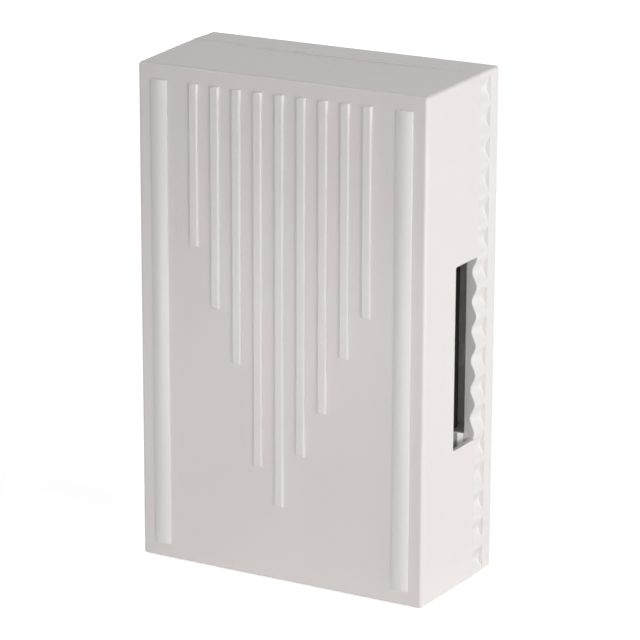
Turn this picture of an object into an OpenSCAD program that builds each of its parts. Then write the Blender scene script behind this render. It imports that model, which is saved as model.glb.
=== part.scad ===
// Wired two-note door chime for a wall, in millimetres.
// X runs to the right seen from the front, Y into the wall and Z up.
// The origin is the centre of the back face, on the wall plane.

/* [Case] */
// Width of the base tray
case_w = 125; // [110:0.5:150]
// Height of the base tray
case_h = 200; // [190:0.5:240]
// Depth from the wall to the front face of the cover
case_d = 56.4; // [54:0.1:70]
// Depth of the base tray
base_d = 15.2; // [13:0.1:18]
// Radius of the corners that run front to back
corner_r = 1.2; // [1.2:0.1:3]
// Thickness of the base floor
floor_t = 2.2; // [1.6:0.1:3]
// Thickness of the top and bottom walls of the base
base_wall = 2.2; // [1.6:0.1:3]
// Thickness of the side walls of the base at a ridge
side_wall = 4.9; // [4.3:0.1:5.2]

/* [Fluted sides] */
// Distance from one ridge to the next
flute_pitch = 12.2; // [8:0.1:16]
// Height of one ridge above or below the middle of the case
flute_ridge_z = -28.8; // [-40:0.1:-20]
// Depth of a trough
flute_depth = 2.3; // [1:0.1:2.6]
// Least length of the plain wall above the flutes
flute_plain = 4; // [2:0.1:10]
// Depth of the plain lip behind the flutes
rear_lip = 6.9; // [4:0.1:9]

/* [Cover] */
// Thickness of the cover walls
cover_wall = 2; // [1.6:0.1:2.6]
// Thickness of the cover front
cover_front_t = 2.2; // [1.6:0.1:3]
// Step from the side of the base in to the rim of the cover
cover_step = 0.3; // [0.1:0.05:0.6]
// Taper of each cover wall from its rim to the front
cover_draft = 1.2; // [0.4:0.1:2]
// Rounding round the front face
front_fillet = 1.4; // [0.5:0.1:2]

/* [Sound slots] */
// Height of a sound slot
slot_h = 72.3; // [50:0.1:90]
// Middle of a sound slot above the middle of the case
slot_z = -6.9; // [-15:0.1:5]
// Depth of a sound slot from the rim of the cover
slot_d = 17.2; // [10:0.1:24]
// Rounding in the corners of a sound slot
slot_r = 0.8; // [0.3:0.1:2]

/* [Front ribs] */
// Lengths of the short ribs, left to right
rib_lengths = [63, 86.2, 106.9, 146.6, 161.4, 139.4, 121.1, 97.9, 80.8];
// Distance between short ribs
rib_pitch = 9.25; // [8:0.05:10]
// Width of a short rib
rib_w = 3.7; // [2.5:0.1:5]
// Height of a short rib above the front
rib_proud = 1.1; // [0.8:0.1:2]
// Rounding along the edges of a short rib
rib_r = 0.7; // [0.3:0.05:0.8]
// Distance of each long bar from the middle
bar_x = 52.2; // [48:0.1:53]
// Width of a long bar
bar_w = 6.8; // [4:0.1:8]
// Height of a long bar above the front
bar_proud = 1.3; // [1:0.1:2]
// Rise of the crown across a long bar
bar_crown = 0.8; // [0.4:0.1:0.9]
// Space from the top and bottom of the case to the ribs
rib_margin = 7; // [5:0.1:12]

/* [Cover tabs] */
// Distance of a locating tab from the middle
tab_x = 36; // [20:0.5:45]
// Width of a locating tab
tab_w = 14; // [8:0.5:20]
// Thickness of a locating tab
tab_t = 2.2; // [1.6:0.1:3]
// Reach of a locating tab into the cover
tab_reach = 6; // [3:0.1:10]

/* [Tone plates] */
// Thickness of a tone plate
plate_t = 2; // [1.5:0.1:2.5]
// Width of a tone plate
plate_w = 34; // [30:0.5:36]
// Length of the right plate, the higher note
plate_right_len = 118.5; // [110:0.5:130]
// Length of the left plate, the lower note
plate_left_len = 132.5; // [125:0.5:145]
// Space from the side of the case to the outer face of a plate
plate_inset = 9.5; // [8:0.1:10.5]
// Middle of the plates and the striker above the wall
axis_h = 27.9; // [26:0.1:29]
// Middle of the plates and the striker above the middle of the case
axis_z = 18.2; // [10:0.1:25]
// Share of the length from the end of a plate to its still point
still_share = 0.224; // [0.2:0.001:0.25]
// Corner radius of a plate
plate_r = 2; // [0.5:0.1:4]

/* [Plate hangers] */
// Diameter of a hanger pin
pin_d = 2.6; // [2:0.1:3]
// Diameter of the head of a hanger pin
pin_head_d = 6.4; // [5.5:0.1:7]
// Thickness of the head of a hanger pin
pin_head_t = 1; // [0.6:0.1:1.2]
// Diameter of the rubber neck in the plate
neck_d = 6; // [5:0.1:7]
// Diameter of the rubber flanges
grommet_d = 9; // [8:0.1:10]
// Thickness of a rubber flange
grommet_t = 0.8; // [0.6:0.05:1]
// Thickness of a hanger lug
lug_t = 5; // [4:0.1:6]
// Width of a hanger lug
lug_w = 9; // [8:0.1:11]
// Reach of the gusset behind a lug
gusset_l = 9; // [5:0.5:12]
// Thickness of a gusset
gusset_t = 2; // [1.2:0.1:3]
// Height of the stop post below a plate, above the wall
post_h = 19.8; // [17:0.1:22]
// Reach of a stop post past the inner face of its plate
post_past = 0.5; // [0.2:0.1:2]
// Thickness of a stop post
post_t = 5; // [3:0.1:7]

/* [Solenoid] */
// Length of the bobbin between the ears of the yoke
bobbin_l = 44; // [38:0.5:48]
// Wall of the bobbin tube
tube_wall = 1.9; // [1.5:0.1:2.5]
// Wall of the spigots at the bobbin ends
spigot_wall = 1.4; // [1.2:0.1:1.5]
// Length of a spigot past the flange
spigot_l = 3; // [2.6:0.1:4]
// Thickness of a bobbin flange
flange_t = 1.6; // [1.2:0.1:2.4]
// Height of a flange above the tape
flange_over = 1.1; // [0.5:0.1:2]
// Thickness of the winding
winding_t = 6.1; // [4:0.1:7]
// Thickness of the tape wrap
tape_t = 0.35; // [0.2:0.05:0.6]
// Thickness of the yoke strip
yoke_t = 2; // [1.5:0.1:2.4]
// Width of the yoke strip
yoke_w = 22; // [18:0.5:26]
// Inner radius of the yoke bends
yoke_bend = 1; // [0.5:0.1:2]
// Distance of a yoke screw from the striker axis
yoke_screw_z = 19; // [18.5:0.1:21]
// Diameter of the round yoke feet and their bosses
yoke_foot_d = 10; // [8:0.1:11]

/* [Striker] */
// Diameter of the steel armature
armature_d = 8; // [7:0.1:9]
// Length of the armature
armature_l = 36; // [32:0.5:40]
// Middle of the armature at rest, left of the middle of the coil
armature_rest = -8; // [-9:0.1:-6]
// Diameter of a striker rod
rod_d = 5; // [4:0.1:6]
// Diameter of the rod stems in the armature
stem_d = 3; // [2:0.1:3.5]
// Length of the rod stems
stem_l = 6; // [4:0.5:8]
// Diameter of a striker tip
tip_d = 7; // [6.2:0.1:8]
// Length of a striker tip
tip_l = 7; // [5.5:0.1:9]
// Gap from the left tip to its plate at rest
gap_left = 2; // [1.5:0.1:3]
// Gap from the right tip to its plate at rest
gap_right = 6; // [5:0.1:7]
// Thickness of the spring flange on the left rod
rod_flange_t = 1.8; // [1.2:0.1:2]
// Bare length of the left rod between its tip and the spring flange
rod_neck = 1.4; // [1:0.1:3]

/* [Return spring] */
// Diameter of the spring wire
spring_wire = 0.9; // [0.6:0.05:1]
// Number of turns between the end turns
spring_turns = 4; // [3:1:5]
// Rise of an end turn for each wire diameter
end_pitch = 1.65; // [1.5:0.01:1.7]

/* [Wiring] */
// Middle of the terminal block above the bottom of the case
block_up = 34; // [30:0.5:40]
// Width of the terminal block
block_w = 34; // [30:0.5:40]
// Height of the terminal block
block_h = 16; // [14:0.5:20]
// Depth of the terminal block
block_d = 9; // [8:0.1:11]
// Depth of the seats for the clamps
bay_d = 3.2; // [2:0.1:4]
// Thickness of the walls between the seats
barrier_t = 2; // [1.5:0.1:3]
// Height of the pad that carries the terminal block
pad_h = 4; // [3:0.1:5]
// Thickness of a clamp plate
clamp_t = 1; // [0.6:0.1:1.4]
// Size of a square clamp plate
clamp_w = 8.6; // [7.5:0.1:9]
// Diameter of a terminal screw
terminal_d = 3.5; // [3:0.1:4]
// Diameter of a lead wire with its insulation
lead_d = 1.6; // [1.2:0.1:1.9]
// Distance of each lead from the middle where it leaves the coil
lead_x = 15; // [12:0.5:17]

/* [Screws] */
// Diameter of the small screws
screw_d = 2.9; // [2.5:0.1:3.2]
// Diameter of a screw head
screw_head_d = 5.6; // [5:0.1:6.4]
// Height of a screw head
screw_head_t = 2.1; // [1.6:0.1:2.6]
// Length of a screw below its head
screw_l = 9; // [8:0.1:9.5]
// Width of a screw slot
screw_slot = 0.9; // [0.6:0.1:1.2]

/* [Wall fixing] */
// Diameter of the wall screw holes
wall_hole_d = 5; // [4:0.1:6]
// Distance between the wall screw holes
wall_hole_pitch = 124; // [118:0.5:126]
// Distance of the upper wall screw hole from the top of the case
wall_hole_down = 12; // [10:0.5:14]
// Width of the raised ring round a wall screw hole
wall_ring = 3.5; // [2:0.1:5]
// Height of the raised ring
wall_ring_h = 1.5; // [0.8:0.1:3]
// Middle of the cable entry above the bottom of the case
cable_up = 14; // [12:0.5:15]
// Bore of the cable grommet
cable_bore = 8; // [6:0.1:9]
// Wall of the cable grommet in the floor
cable_neck = 2; // [1.5:0.1:2.4]
// Width of the cable grommet flanges
cable_flange = 2; // [1.2:0.1:2.2]
// Thickness of the cable grommet flanges
cable_flange_t = 1.3; // [0.8:0.1:1.8]
// Thickness of the floor round the cable grommet
cable_floor = 4.2; // [3.6:0.1:5]

/* [Clearances] */
// Gap round a pin, screw or stem in its hole
fit_gap = 0.05; // [0.02:0.01:0.1]
// Gap round the armature in the bobbin
run_gap = 0.08; // [0.04:0.01:0.1]
// Gap from a locating tab to the wall of the cover
tab_gap = 0.3; // [0.25:0.05:0.5]
// Gap from the coil flanges to the bends of the yoke
coil_gap = 0.1; // [0.05:0.05:0.8]
// Gap from the end of a plate to its stop post
post_gap = 0.3; // [0.2:0.05:1]

/* [Hidden] */
$fn = 48;
eps = 0.01;
hull_fn = 32;

// Planes of the case
front_y = -case_d;
rim_y = -base_d;
floor_y = -floor_t;
cover_d = case_d - base_d;
cover_half_w = case_w / 2 - cover_step;
cover_half_h = case_h / 2 - cover_step;

// Half sizes of the cover at depth y, outside and inside the wall
function taper(y) = cover_draft * (rim_y - y) / cover_d;
function cover_x(y, wall = 0) = cover_half_w - wall - taper(y);
function cover_z(y, wall = 0) = cover_half_h - wall - taper(y);

// Ribs and bars end on these lines
rib_top = case_h / 2 - rib_margin;
bar_l = case_h - 2 * rib_margin;
rib_root = cover_front_t / 4;
bar_edge = bar_proud - bar_crown;
bar_R = (bar_w * bar_w / 4 + bar_crown * bar_crown) / (2 * bar_crown);

// Striker axis and plate faces
axis_y = -axis_h;
plate_out = case_w / 2 - plate_inset;
plate_in = plate_out - plate_t;
lug_out = plate_in - grommet_t;
head_in = plate_out + grommet_t;
left_pins = pin_heights(plate_left_len);
right_pins = pin_heights(plate_right_len);
function pin_heights(len) = [for (s = [-1, 1]) axis_z + s * len * (0.5 - still_share)];

// Coil sizes, from the armature outwards
bore_d = armature_d + 2 * run_gap;
tube_d = bore_d + 2 * tube_wall;
spigot_d = bore_d + 2 * spigot_wall;
winding_d = tube_d + 2 * winding_t;
tape_d = winding_d + 2 * fit_gap + 2 * tape_t;
flange_d = tape_d + 2 * flange_over;
bobbin_half = bobbin_l / 2;
spigot_end = bobbin_half + spigot_l;
web_front = axis_y + flange_d / 2 + yoke_bend + coil_gap;
web_back = web_front + yoke_t;
ear_front = axis_y - yoke_w / 2;
yoke_screws_at = [axis_z - yoke_screw_z, axis_z + yoke_screw_z];

// Striker places along X at rest
tip_left_x = -plate_in + gap_left;
tip_right_x = plate_in - gap_right;
armature_left = armature_rest - armature_l / 2;
armature_right = armature_rest + armature_l / 2;
rod_flange_x = tip_left_x + tip_l + rod_neck + rod_flange_t;
nose_d = tip_d - 3;
nose_l = tip_l / 2;

// Spring sizes: it fills the room between the spigot and the flange
spring_l = -spigot_end - rod_flange_x;
spring_mean = (bore_d + spigot_d) / 2;
rod_flange_d = spring_mean + spring_wire + 1;
spring_seat_gap = 0.05;
spring_rings = 8;
spring_sides = 6;

// Terminal block places
block_z = block_up - case_h / 2;
pad_y = floor_y - pad_h;
block_y = pad_y - block_d;
clamp_y = block_y + bay_d;
bay_w = (block_w - 3 * barrier_t) / 2;
bay_x = (bay_w + barrier_t) / 2;
terminal_head_d = terminal_d + 2.6;
terminal_head_t = 1.6;
terminal_l = block_d - bay_d - 1;
block_screw_z = block_z - block_h / 2 + 3.5;

// Wall fixing places
wall_hole_top = case_h / 2 - wall_hole_down;
wall_holes_at = [wall_hole_top - wall_hole_pitch, wall_hole_top];
cable_z = cable_up - case_h / 2;
cable_hole_d = cable_bore + 2 * cable_neck;
cable_flange_d = cable_hole_d + 2 * cable_flange;
cable_boss_d = cable_flange_d + 4;
cable_back_gap = 0.2;

// Colours of the pieces
white_plastic = [0.91, 0.89, 0.88];
dark_steel = [0.27, 0.24, 0.22];
zinc_steel = [0.72, 0.73, 0.74];
black_rubber = [0.08, 0.08, 0.08];
natural_nylon = [0.88, 0.86, 0.78];
copper = [0.72, 0.40, 0.22];
amber_tape = [0.80, 0.52, 0.16];
brown_resin = [0.30, 0.18, 0.12];
brass = [0.79, 0.63, 0.30];

// A flat outline in X and Z, made t thick from y forwards
module slab(y, t) {
    translate([0, y, 0])
        rotate([90, 0, 0])
            linear_extrude(t) children();
}

// A flat outline in Y and Z, made t thick from x to the right
module along_x(x, t) {
    translate([x, 0, 0])
        rotate([90, 0, 90])
            linear_extrude(t) children();
}

// A round bar along X on the line y, z
module rod_x(x0, x1, y, z, d) {
    translate([x0, y, z])
        rotate([0, 90, 0])
            cylinder(h = x1 - x0, d = d);
}

// A round bar along Y on the line x, z, from y0 at the back to y1 in front
module rod_y(y0, y1, x, z, d) {
    translate([x, y0, z])
        rotate([90, 0, 0])
            cylinder(h = y0 - y1, d = d);
}

// A turned shape on the striker axis: its outline is radius and place along X
module turned_x() {
    translate([0, axis_y, axis_z])
        rotate([0, 90, 0])
            rotate_extrude() children();
}

// A rectangle with round corners, about its middle
module round_rect(w, h, r) {
    square([w - 2 * r, h], center = true);
    square([w, h - 2 * r], center = true);
    for (x = [-1, 1])
        for (z = [-1, 1])
            translate([x * (w / 2 - r), z * (h / 2 - r)]) circle(r);
}

// A pan head screw along Y whose head sits on the plane y
module pan_screw(x, z, y, d, head_d, head_t, len, turn) {
    difference() {
        union() {
            rod_y(y + len, y - head_t / 2, x, z, d);
            translate([x, y, z])
                rotate([90, 0, 0])
                    rotate_extrude() screw_head(head_d / 2, head_t);
        }
        translate([x, y - head_t, z])
            rotate([0, turn, 0])
                cube([head_d + 1, head_t, screw_slot], center = true);
    }
}

// Half outline of a domed screw head
module screw_head(r, t) {
    intersection() {
        square([r, t]);
        translate([0, t - r * 1.6]) circle(r * 1.6);
    }
}

// Rings of points round a path, each ring square to the path.
// The side vectors must not lie along the path.
function unit(v) = v / norm(v);
function step_at(p, i) = unit(p[min(i + 1, len(p) - 1)] - p[max(i - 1, 0)]);
function ring(c, t, side, r, n) =
    let (u = unit(cross(t, side)), v = cross(t, u))
    [for (k = [0:n - 1]) c + r * (cos(360 * k / n) * u + sin(360 * k / n) * v)];
function tube_points(path, sides_at, r, n) =
    [for (i = [0:len(path) - 1]) each ring(path[i], step_at(path, i), sides_at[i], r, n)];
function tube_walls(rings, n) = [
    for (i = [0:rings - 2])
        for (k = [0:n - 1])
            let (a = i * n + k, b = i * n + (k + 1) % n)
            each [[a, a + n, b], [b, a + n, b + n]]
];
function tube_caps(rings, n) = [
    for (k = [1:n - 2])
        each [[0, k, k + 1], [(rings - 1) * n, (rings - 1) * n + k + 1, (rings - 1) * n + k]]
];
module tube(path, sides_at, r, n) {
    polyhedron(
        tube_points(path, sides_at, r, n),
        concat(tube_walls(len(path), n), tube_caps(len(path), n))
    );
}

// Base tray with its lugs, posts, bosses and tabs
module base_tray() {
    color(white_plastic)
    difference() {
        union() {
            tray_shell();
            for (z = left_pins) mirror([1, 0, 0]) hanger_lug(z);
            for (z = right_pins) hanger_lug(z);
            mirror([1, 0, 0]) stop_post(axis_z - plate_left_len / 2);
            stop_post(axis_z - plate_right_len / 2);
            for (z = yoke_screws_at) rod_y(floor_y + eps, web_back, 0, z, yoke_foot_d);
            for (z = wall_holes_at)
                rod_y(floor_y + eps, floor_y - wall_ring_h, 0, z, wall_hole_d + 2 * wall_ring);
            rod_y(floor_y + eps, -cable_floor, 0, cable_z, cable_boss_d);
            slab(floor_y + eps, pad_h + eps)
                translate([0, block_z]) round_rect(block_w + 2, block_h + 2, 1);
            for (x = [-1, 1])
                for (z = [-1, 1])
                    cover_tab(x, z);
        }
        for (z = left_pins) mirror([1, 0, 0]) lug_hole(z);
        for (z = right_pins) lug_hole(z);
        for (z = yoke_screws_at)
            rod_y(web_front + screw_l + 1, web_back - 1, 0, z, screw_d + 2 * fit_gap);
        for (z = wall_holes_at)
            rod_y(1, floor_y - wall_ring_h - 1, 0, z, wall_hole_d);
        rod_y(1, -cable_floor - 1, 0, cable_z, cable_hole_d + 2 * fit_gap);
        rod_y(1, -cable_back_gap - cable_flange_t, 0, cable_z, cable_flange_d + 2 * fit_gap);
        block_screw_hole();
    }
}

// Floor and walls, with the flutes cut in both sides
module tray_shell() {
    difference() {
        slab(0, base_d) round_rect(case_w, case_h, corner_r);
        slab(floor_y, base_d)
            round_rect(case_w - 2 * side_wall, case_h - 2 * base_wall, corner_r / 2);
        for (s = [0, 1])
            mirror([s, 0, 0])
                slab(-rear_lip, base_d) flute_cut();
    }
}

// The space outside the wave on the right side, which ends on the highest ridge
flute_count = floor((case_h / 2 - flute_plain - flute_ridge_z) / flute_pitch);
flute_top = flute_ridge_z + flute_count * flute_pitch;
flute_low = -case_h / 2 - 1;
flute_steps = ceil((flute_top - flute_low) / flute_pitch * 8);
function wave(z) = flute_depth * (1 - cos(360 * (z - flute_ridge_z) / flute_pitch)) / 2;
module flute_cut() {
    dz = (flute_top - flute_low) / flute_steps;
    polygon(concat(
        [[case_w / 2 + 1, flute_top], [case_w / 2 + 1, flute_low]],
        [for (i = [0:flute_steps]) [case_w / 2 - wave(flute_low + i * dz), flute_low + i * dz]]
    ));
}

// Upright lug on the right that carries one hanger pin, with a gusset behind it
module hanger_lug(z) {
    along_x(lug_out - lug_t, lug_t) {
        translate([axis_y, z - lug_w / 2]) square([axis_h - floor_t + eps, lug_w]);
        translate([axis_y, z]) circle(lug_w / 2);
    }
    x = lug_out - lug_t;
    translate([0, 0, z - gusset_t / 2])
        linear_extrude(gusset_t)
            polygon([
                [x + eps, floor_y + eps],
                [x - gusset_l, floor_y + eps],
                [x - gusset_l, floor_y - 1],
                [x + eps, axis_y + pin_d]
            ]);
}
module lug_hole(z) {
    rod_x(lug_out - lug_t - 1, lug_out + 1, axis_y, z, pin_d + 2 * fit_gap);
}

// Post on the right wall just below the lower end of a plate
module stop_post(z_end) {
    post_x = plate_in - post_past;
    post_w = case_w / 2 - side_wall - post_x;
    translate([post_x, -post_h, z_end - post_gap - post_t])
        cube([post_w, post_h - base_d, post_t]);
    translate([post_x, -base_d - eps, z_end - post_gap - post_t])
        cube([post_w + eps, base_d - floor_t + 2 * eps, post_t]);
}

// Tab that reaches into the cover, at the top or the bottom
module cover_tab(sx, sz) {
    z_in = cover_z(rim_y, cover_wall) - tab_gap;
    wall_z = case_h / 2 - base_wall + eps;
    x0 = sx * tab_x - tab_w / 2;
    translate([x0, 0, 0])
        mirror([0, 0, sz < 0 ? 1 : 0]) {
            translate([0, rim_y - tab_reach, z_in - tab_t])
                cube([tab_w, base_d + tab_reach - floor_t + eps, tab_t]);
            translate([0, rim_y, z_in - tab_t])
                cube([tab_w, base_d - floor_t + eps, wall_z - z_in + tab_t]);
        }
}

// Drafted shell of the cover, its sound slots and the ribs on its front
module front_cover() {
    color(white_plastic) {
        difference() {
            cover_outside();
            cover_inside();
            for (s = [0, 1]) mirror([s, 0, 0]) sound_slot();
        }
        short_ribs();
        for (s = [-1, 1]) long_bar(s * bar_x);
    }
}
module cover_outside() {
    hull() {
        cover_ring(rim_y, 0, corner_r);
        for (a = [0:22.5:90])
            cover_ring(
                front_y + eps + front_fillet * (1 - sin(a)),
                front_fillet * (1 - cos(a)),
                corner_r
            );
    }
}
module cover_inside() {
    past = rim_y + 1;
    hull() {
        cover_ring(past, cover_wall, corner_r / 2);
        cover_ring(front_y + cover_front_t + eps, cover_wall, corner_r / 2);
    }
}
module cover_ring(y, inset, r) {
    slab(y, eps)
        round_rect(2 * cover_x(y, inset), 2 * cover_z(y, inset), r, $fn = hull_fn);
}
module sound_slot() {
    reach = slot_d + 2 * slot_r + 1;
    along_x(cover_x(front_y, 2 * cover_wall), 2 * cover_wall + cover_draft + 1)
        translate([rim_y - slot_d + reach / 2, slot_z]) round_rect(reach, slot_h, slot_r);
}
module short_ribs() {
    middle = (len(rib_lengths) - 1) / 2;
    for (i = [0:len(rib_lengths) - 1])
        translate([(i - middle) * rib_pitch, front_y, rib_top - rib_lengths[i]])
            linear_extrude(rib_lengths[i]) rib_profile();
}
module rib_profile() {
    translate([-rib_w / 2, rib_r - rib_proud]) square([rib_w, rib_proud - rib_r + rib_root]);
    translate([rib_r - rib_w / 2, -rib_proud]) square([rib_w - 2 * rib_r, rib_proud]);
    for (s = [-1, 1])
        translate([s * (rib_w / 2 - rib_r), rib_r - rib_proud]) circle(rib_r);
}
module long_bar(x) {
    translate([x, front_y, -bar_l / 2])
        linear_extrude(bar_l)
            intersection() {
                translate([-bar_w / 2, -bar_proud]) square([bar_w, bar_proud + rib_root]);
                translate([0, bar_R - bar_proud]) circle(bar_R, $fn = 128);
            }
}

// Steel tone plates, hung at their still points
module tone_plate(len, pins) {
    color(dark_steel)
    difference() {
        along_x(plate_in, plate_t)
            translate([axis_y, axis_z]) round_rect(plate_w, len, plate_r);
        for (z = pins) rod_x(plate_in - 1, plate_out + 1, axis_y, z, neck_d + 2 * fit_gap);
    }
}
module tone_plate_left() { mirror([1, 0, 0]) tone_plate(plate_left_len, left_pins); }
module tone_plate_right() { tone_plate(plate_right_len, right_pins); }

// Rubber bushes that hold the plates off their pins
module plate_grommet(z) {
    color(black_rubber)
    difference() {
        union() {
            rod_x(lug_out, plate_in, axis_y, z, grommet_d);
            rod_x(lug_out + eps, head_in - eps, axis_y, z, neck_d);
            rod_x(plate_out, head_in, axis_y, z, grommet_d);
        }
        rod_x(lug_out - 1, head_in + 1, axis_y, z, pin_d + 2 * fit_gap);
    }
}
module plate_grommets_left() { for (z = left_pins) mirror([1, 0, 0]) plate_grommet(z); }
module plate_grommets_right() { for (z = right_pins) plate_grommet(z); }

// Headed pins pressed into the lugs
module hanger_pin(z) {
    color(zinc_steel) {
        rod_x(lug_out - lug_t + 0.5, head_in + eps, axis_y, z, pin_d);
        translate([head_in, axis_y, z])
            rotate([0, 90, 0])
                rotate_extrude() screw_head(pin_head_d / 2, pin_head_t);
    }
}
module hanger_pins_left() { for (z = left_pins) mirror([1, 0, 0]) hanger_pin(z); }
module hanger_pins_right() { for (z = right_pins) hanger_pin(z); }

// Bent steel strip round the coil, with two round feet on the web
module solenoid_yoke() {
    color(zinc_steel)
    difference() {
        union() {
            translate([0, 0, axis_z - yoke_w / 2]) linear_extrude(yoke_w) yoke_profile();
            slab(web_back, yoke_t) yoke_feet();
        }
        rod_x(-spigot_end, spigot_end, axis_y, axis_z, spigot_d + 2 * fit_gap);
        for (z = yoke_screws_at)
            rod_y(web_back + 1, web_front - 1, 0, z, screw_d + 4 * fit_gap);
    }
}
module yoke_profile() {
    rise = web_back - ear_front;
    over = 2 * (yoke_t + yoke_bend);
    intersection() {
        translate([-case_w / 2, ear_front]) square([case_w, rise]);
        translate([0, web_back - (rise + over) / 2])
            difference() {
                round_rect(bobbin_l + 2 * yoke_t, rise + over, yoke_bend + yoke_t);
                translate([0, -yoke_t]) round_rect(bobbin_l, rise + over, yoke_bend);
            }
    }
}
module yoke_feet() {
    for (z = yoke_screws_at) translate([0, z]) circle(d = yoke_foot_d);
    translate([-yoke_foot_d / 2, yoke_screws_at[0]]) square([yoke_foot_d, 2 * yoke_screw_z]);
}
module yoke_screws() {
    color(zinc_steel)
        for (z = yoke_screws_at)
            pan_screw(0, z, web_front, screw_d, screw_head_d, screw_head_t, screw_l, 20 + z);
}

// Moulded bobbin with a spigot at each end
module coil_bobbin() {
    color(natural_nylon)
        turned_x()
            difference() {
                union() {
                    translate([0, -bobbin_half]) square([tube_d / 2, bobbin_l]);
                    translate([0, -spigot_end]) square([spigot_d / 2, 2 * spigot_end]);
                    translate([0, -bobbin_half]) square([flange_d / 2, flange_t]);
                    translate([0, bobbin_half - flange_t]) square([flange_d / 2, flange_t]);
                }
                translate([-1, -spigot_end - 1]) square([bore_d / 2 + 1, 2 * spigot_end + 2]);
            }
}
module coil_sleeve(d_in, d_out) {
    half = bobbin_half - flange_t - fit_gap;
    turned_x() translate([d_in / 2, -half]) square([(d_out - d_in) / 2, 2 * half]);
}
module coil_winding() { color(copper) coil_sleeve(tube_d + 2 * fit_gap, winding_d); }
module coil_tape() { color(amber_tape) coil_sleeve(winding_d + 2 * fit_gap, tape_d); }

// Steel core that the coil pulls to the right
module armature() {
    color(zinc_steel)
        turned_x()
            difference() {
                translate([0, armature_left]) square([armature_d / 2, armature_l]);
                for (x = [armature_left - 1, armature_right - stem_l - 0.5])
                    translate([-1, x]) square([stem_d / 2 + fit_gap + 1, stem_l + 1.5]);
            }
}

// Nylon rods with a stem in the armature and a nose in the tip
module striker_rod_left() {
    color(natural_nylon)
        turned_x() {
            rod_outline(tip_left_x + tip_l, armature_left);
            translate([0, armature_left]) square([stem_d / 2, stem_l]);
            translate([0, tip_left_x + tip_l - nose_l]) square([nose_d / 2, nose_l]);
            translate([0, rod_flange_x - rod_flange_t]) square([rod_flange_d / 2, rod_flange_t]);
        }
}
module striker_rod_right() {
    color(natural_nylon)
        turned_x() {
            rod_outline(armature_right, tip_right_x - tip_l);
            translate([0, armature_right - stem_l]) square([stem_d / 2, stem_l]);
            translate([0, tip_right_x - tip_l]) square([nose_d / 2, nose_l]);
        }
}
module rod_outline(x0, x1) { translate([0, x0]) square([rod_d / 2, x1 - x0]); }

// Domed tips that strike the plates: outline from the rod face outwards
module tip_outline() {
    difference() {
        union() {
            square([tip_d / 2, tip_l - tip_d / 4]);
            intersection() {
                square([tip_d / 2, tip_l]);
                translate([0, tip_l - tip_d * 0.625]) circle(tip_d * 0.625);
            }
        }
        translate([-1, -1]) square([nose_d / 2 + fit_gap + 1, nose_l + 1.3]);
    }
}
module striker_tip_left() {
    color(black_rubber)
        turned_x() translate([0, tip_left_x + tip_l]) mirror([0, 1]) tip_outline();
}
module striker_tip_right() {
    color(black_rubber) turned_x() translate([0, tip_right_x - tip_l]) tip_outline();
}

// Spring between the left spigot and the flange of the left rod
end_rise = end_pitch * spring_wire;
spring_run = spring_l - spring_wire - 2 * spring_seat_gap;
mid_rise = (spring_run - 2 * end_rise) / spring_turns;
all_turns = spring_turns + 2;
function spring_x(turn) =
    end_rise * min(turn, 1) + mid_rise * max(0, min(turn - 1, spring_turns))
    + end_rise * max(0, turn - 1 - spring_turns);
spring_side = [for (i = [0:all_turns * spring_rings])
    [0, cos(360 * i / spring_rings), sin(360 * i / spring_rings)]];
spring_path = [for (i = [0:all_turns * spring_rings])
    [-spigot_end - spring_seat_gap - spring_wire / 2 - spring_x(i / spring_rings), axis_y, axis_z]
    + spring_mean / 2 * spring_side[i]];
function least_gap(p, apart, wire) =
    min([for (i = [0:len(p) - 1 - apart]) for (j = [i + apart:len(p) - 1]) norm(p[j] - p[i])]) - wire;
echo(spring_least_gap = least_gap(spring_path, spring_rings / 2 + 1, spring_wire));
module return_spring() {
    color(zinc_steel) tube(spring_path, spring_side, spring_wire / 2, spring_sides);
}

// Terminal block on its pad, open towards the leads
module terminal_block() {
    color(brown_resin)
    difference() {
        slab(pad_y, block_d) translate([0, block_z]) round_rect(block_w, block_h, 1);
        for (s = [-1, 1])
            translate([s * bay_x - bay_w / 2, block_y - 1, block_z - clamp_w / 2])
                cube([bay_w, bay_d + 1, block_h]);
        for (s = [-1, 1])
            rod_y(clamp_y + terminal_l + 0.5, block_y, s * bay_x, block_z, terminal_d + 2 * fit_gap);
        rod_y(pad_y + 1, block_y - 1, 0, block_screw_z, screw_d + 4 * fit_gap);
        rod_y(block_seat_y, block_y - 1, 0, block_screw_z, screw_head_d + 0.6);
    }
}
block_seat_y = block_y + screw_head_t + 0.4;
block_screw_l = pad_y - block_seat_y + pad_h;
module block_screw_hole() {
    rod_y(pad_y + pad_h + 0.5, pad_y - 1, 0, block_screw_z, screw_d + 2 * fit_gap);
}
module block_screw() {
    color(zinc_steel)
        pan_screw(0, block_screw_z, block_seat_y, screw_d, screw_head_d, screw_head_t, block_screw_l, 35);
}
module terminal_clamps() {
    color(brass)
        for (s = [-1, 1])
            difference() {
                slab(clamp_y, clamp_t)
                    translate([s * bay_x, block_z]) square(clamp_w - 2 * fit_gap, center = true);
                rod_y(clamp_y + 1, clamp_y - clamp_t - 1, s * bay_x, block_z, terminal_d + 2 * fit_gap);
            }
}
module terminal_screws() {
    color(brass)
        for (s = [-1, 1])
            pan_screw(
                s * bay_x, block_z, clamp_y - clamp_t,
                terminal_d, terminal_head_d, terminal_head_t, terminal_l + clamp_t, 30 - 50 * s
            );
}

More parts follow.
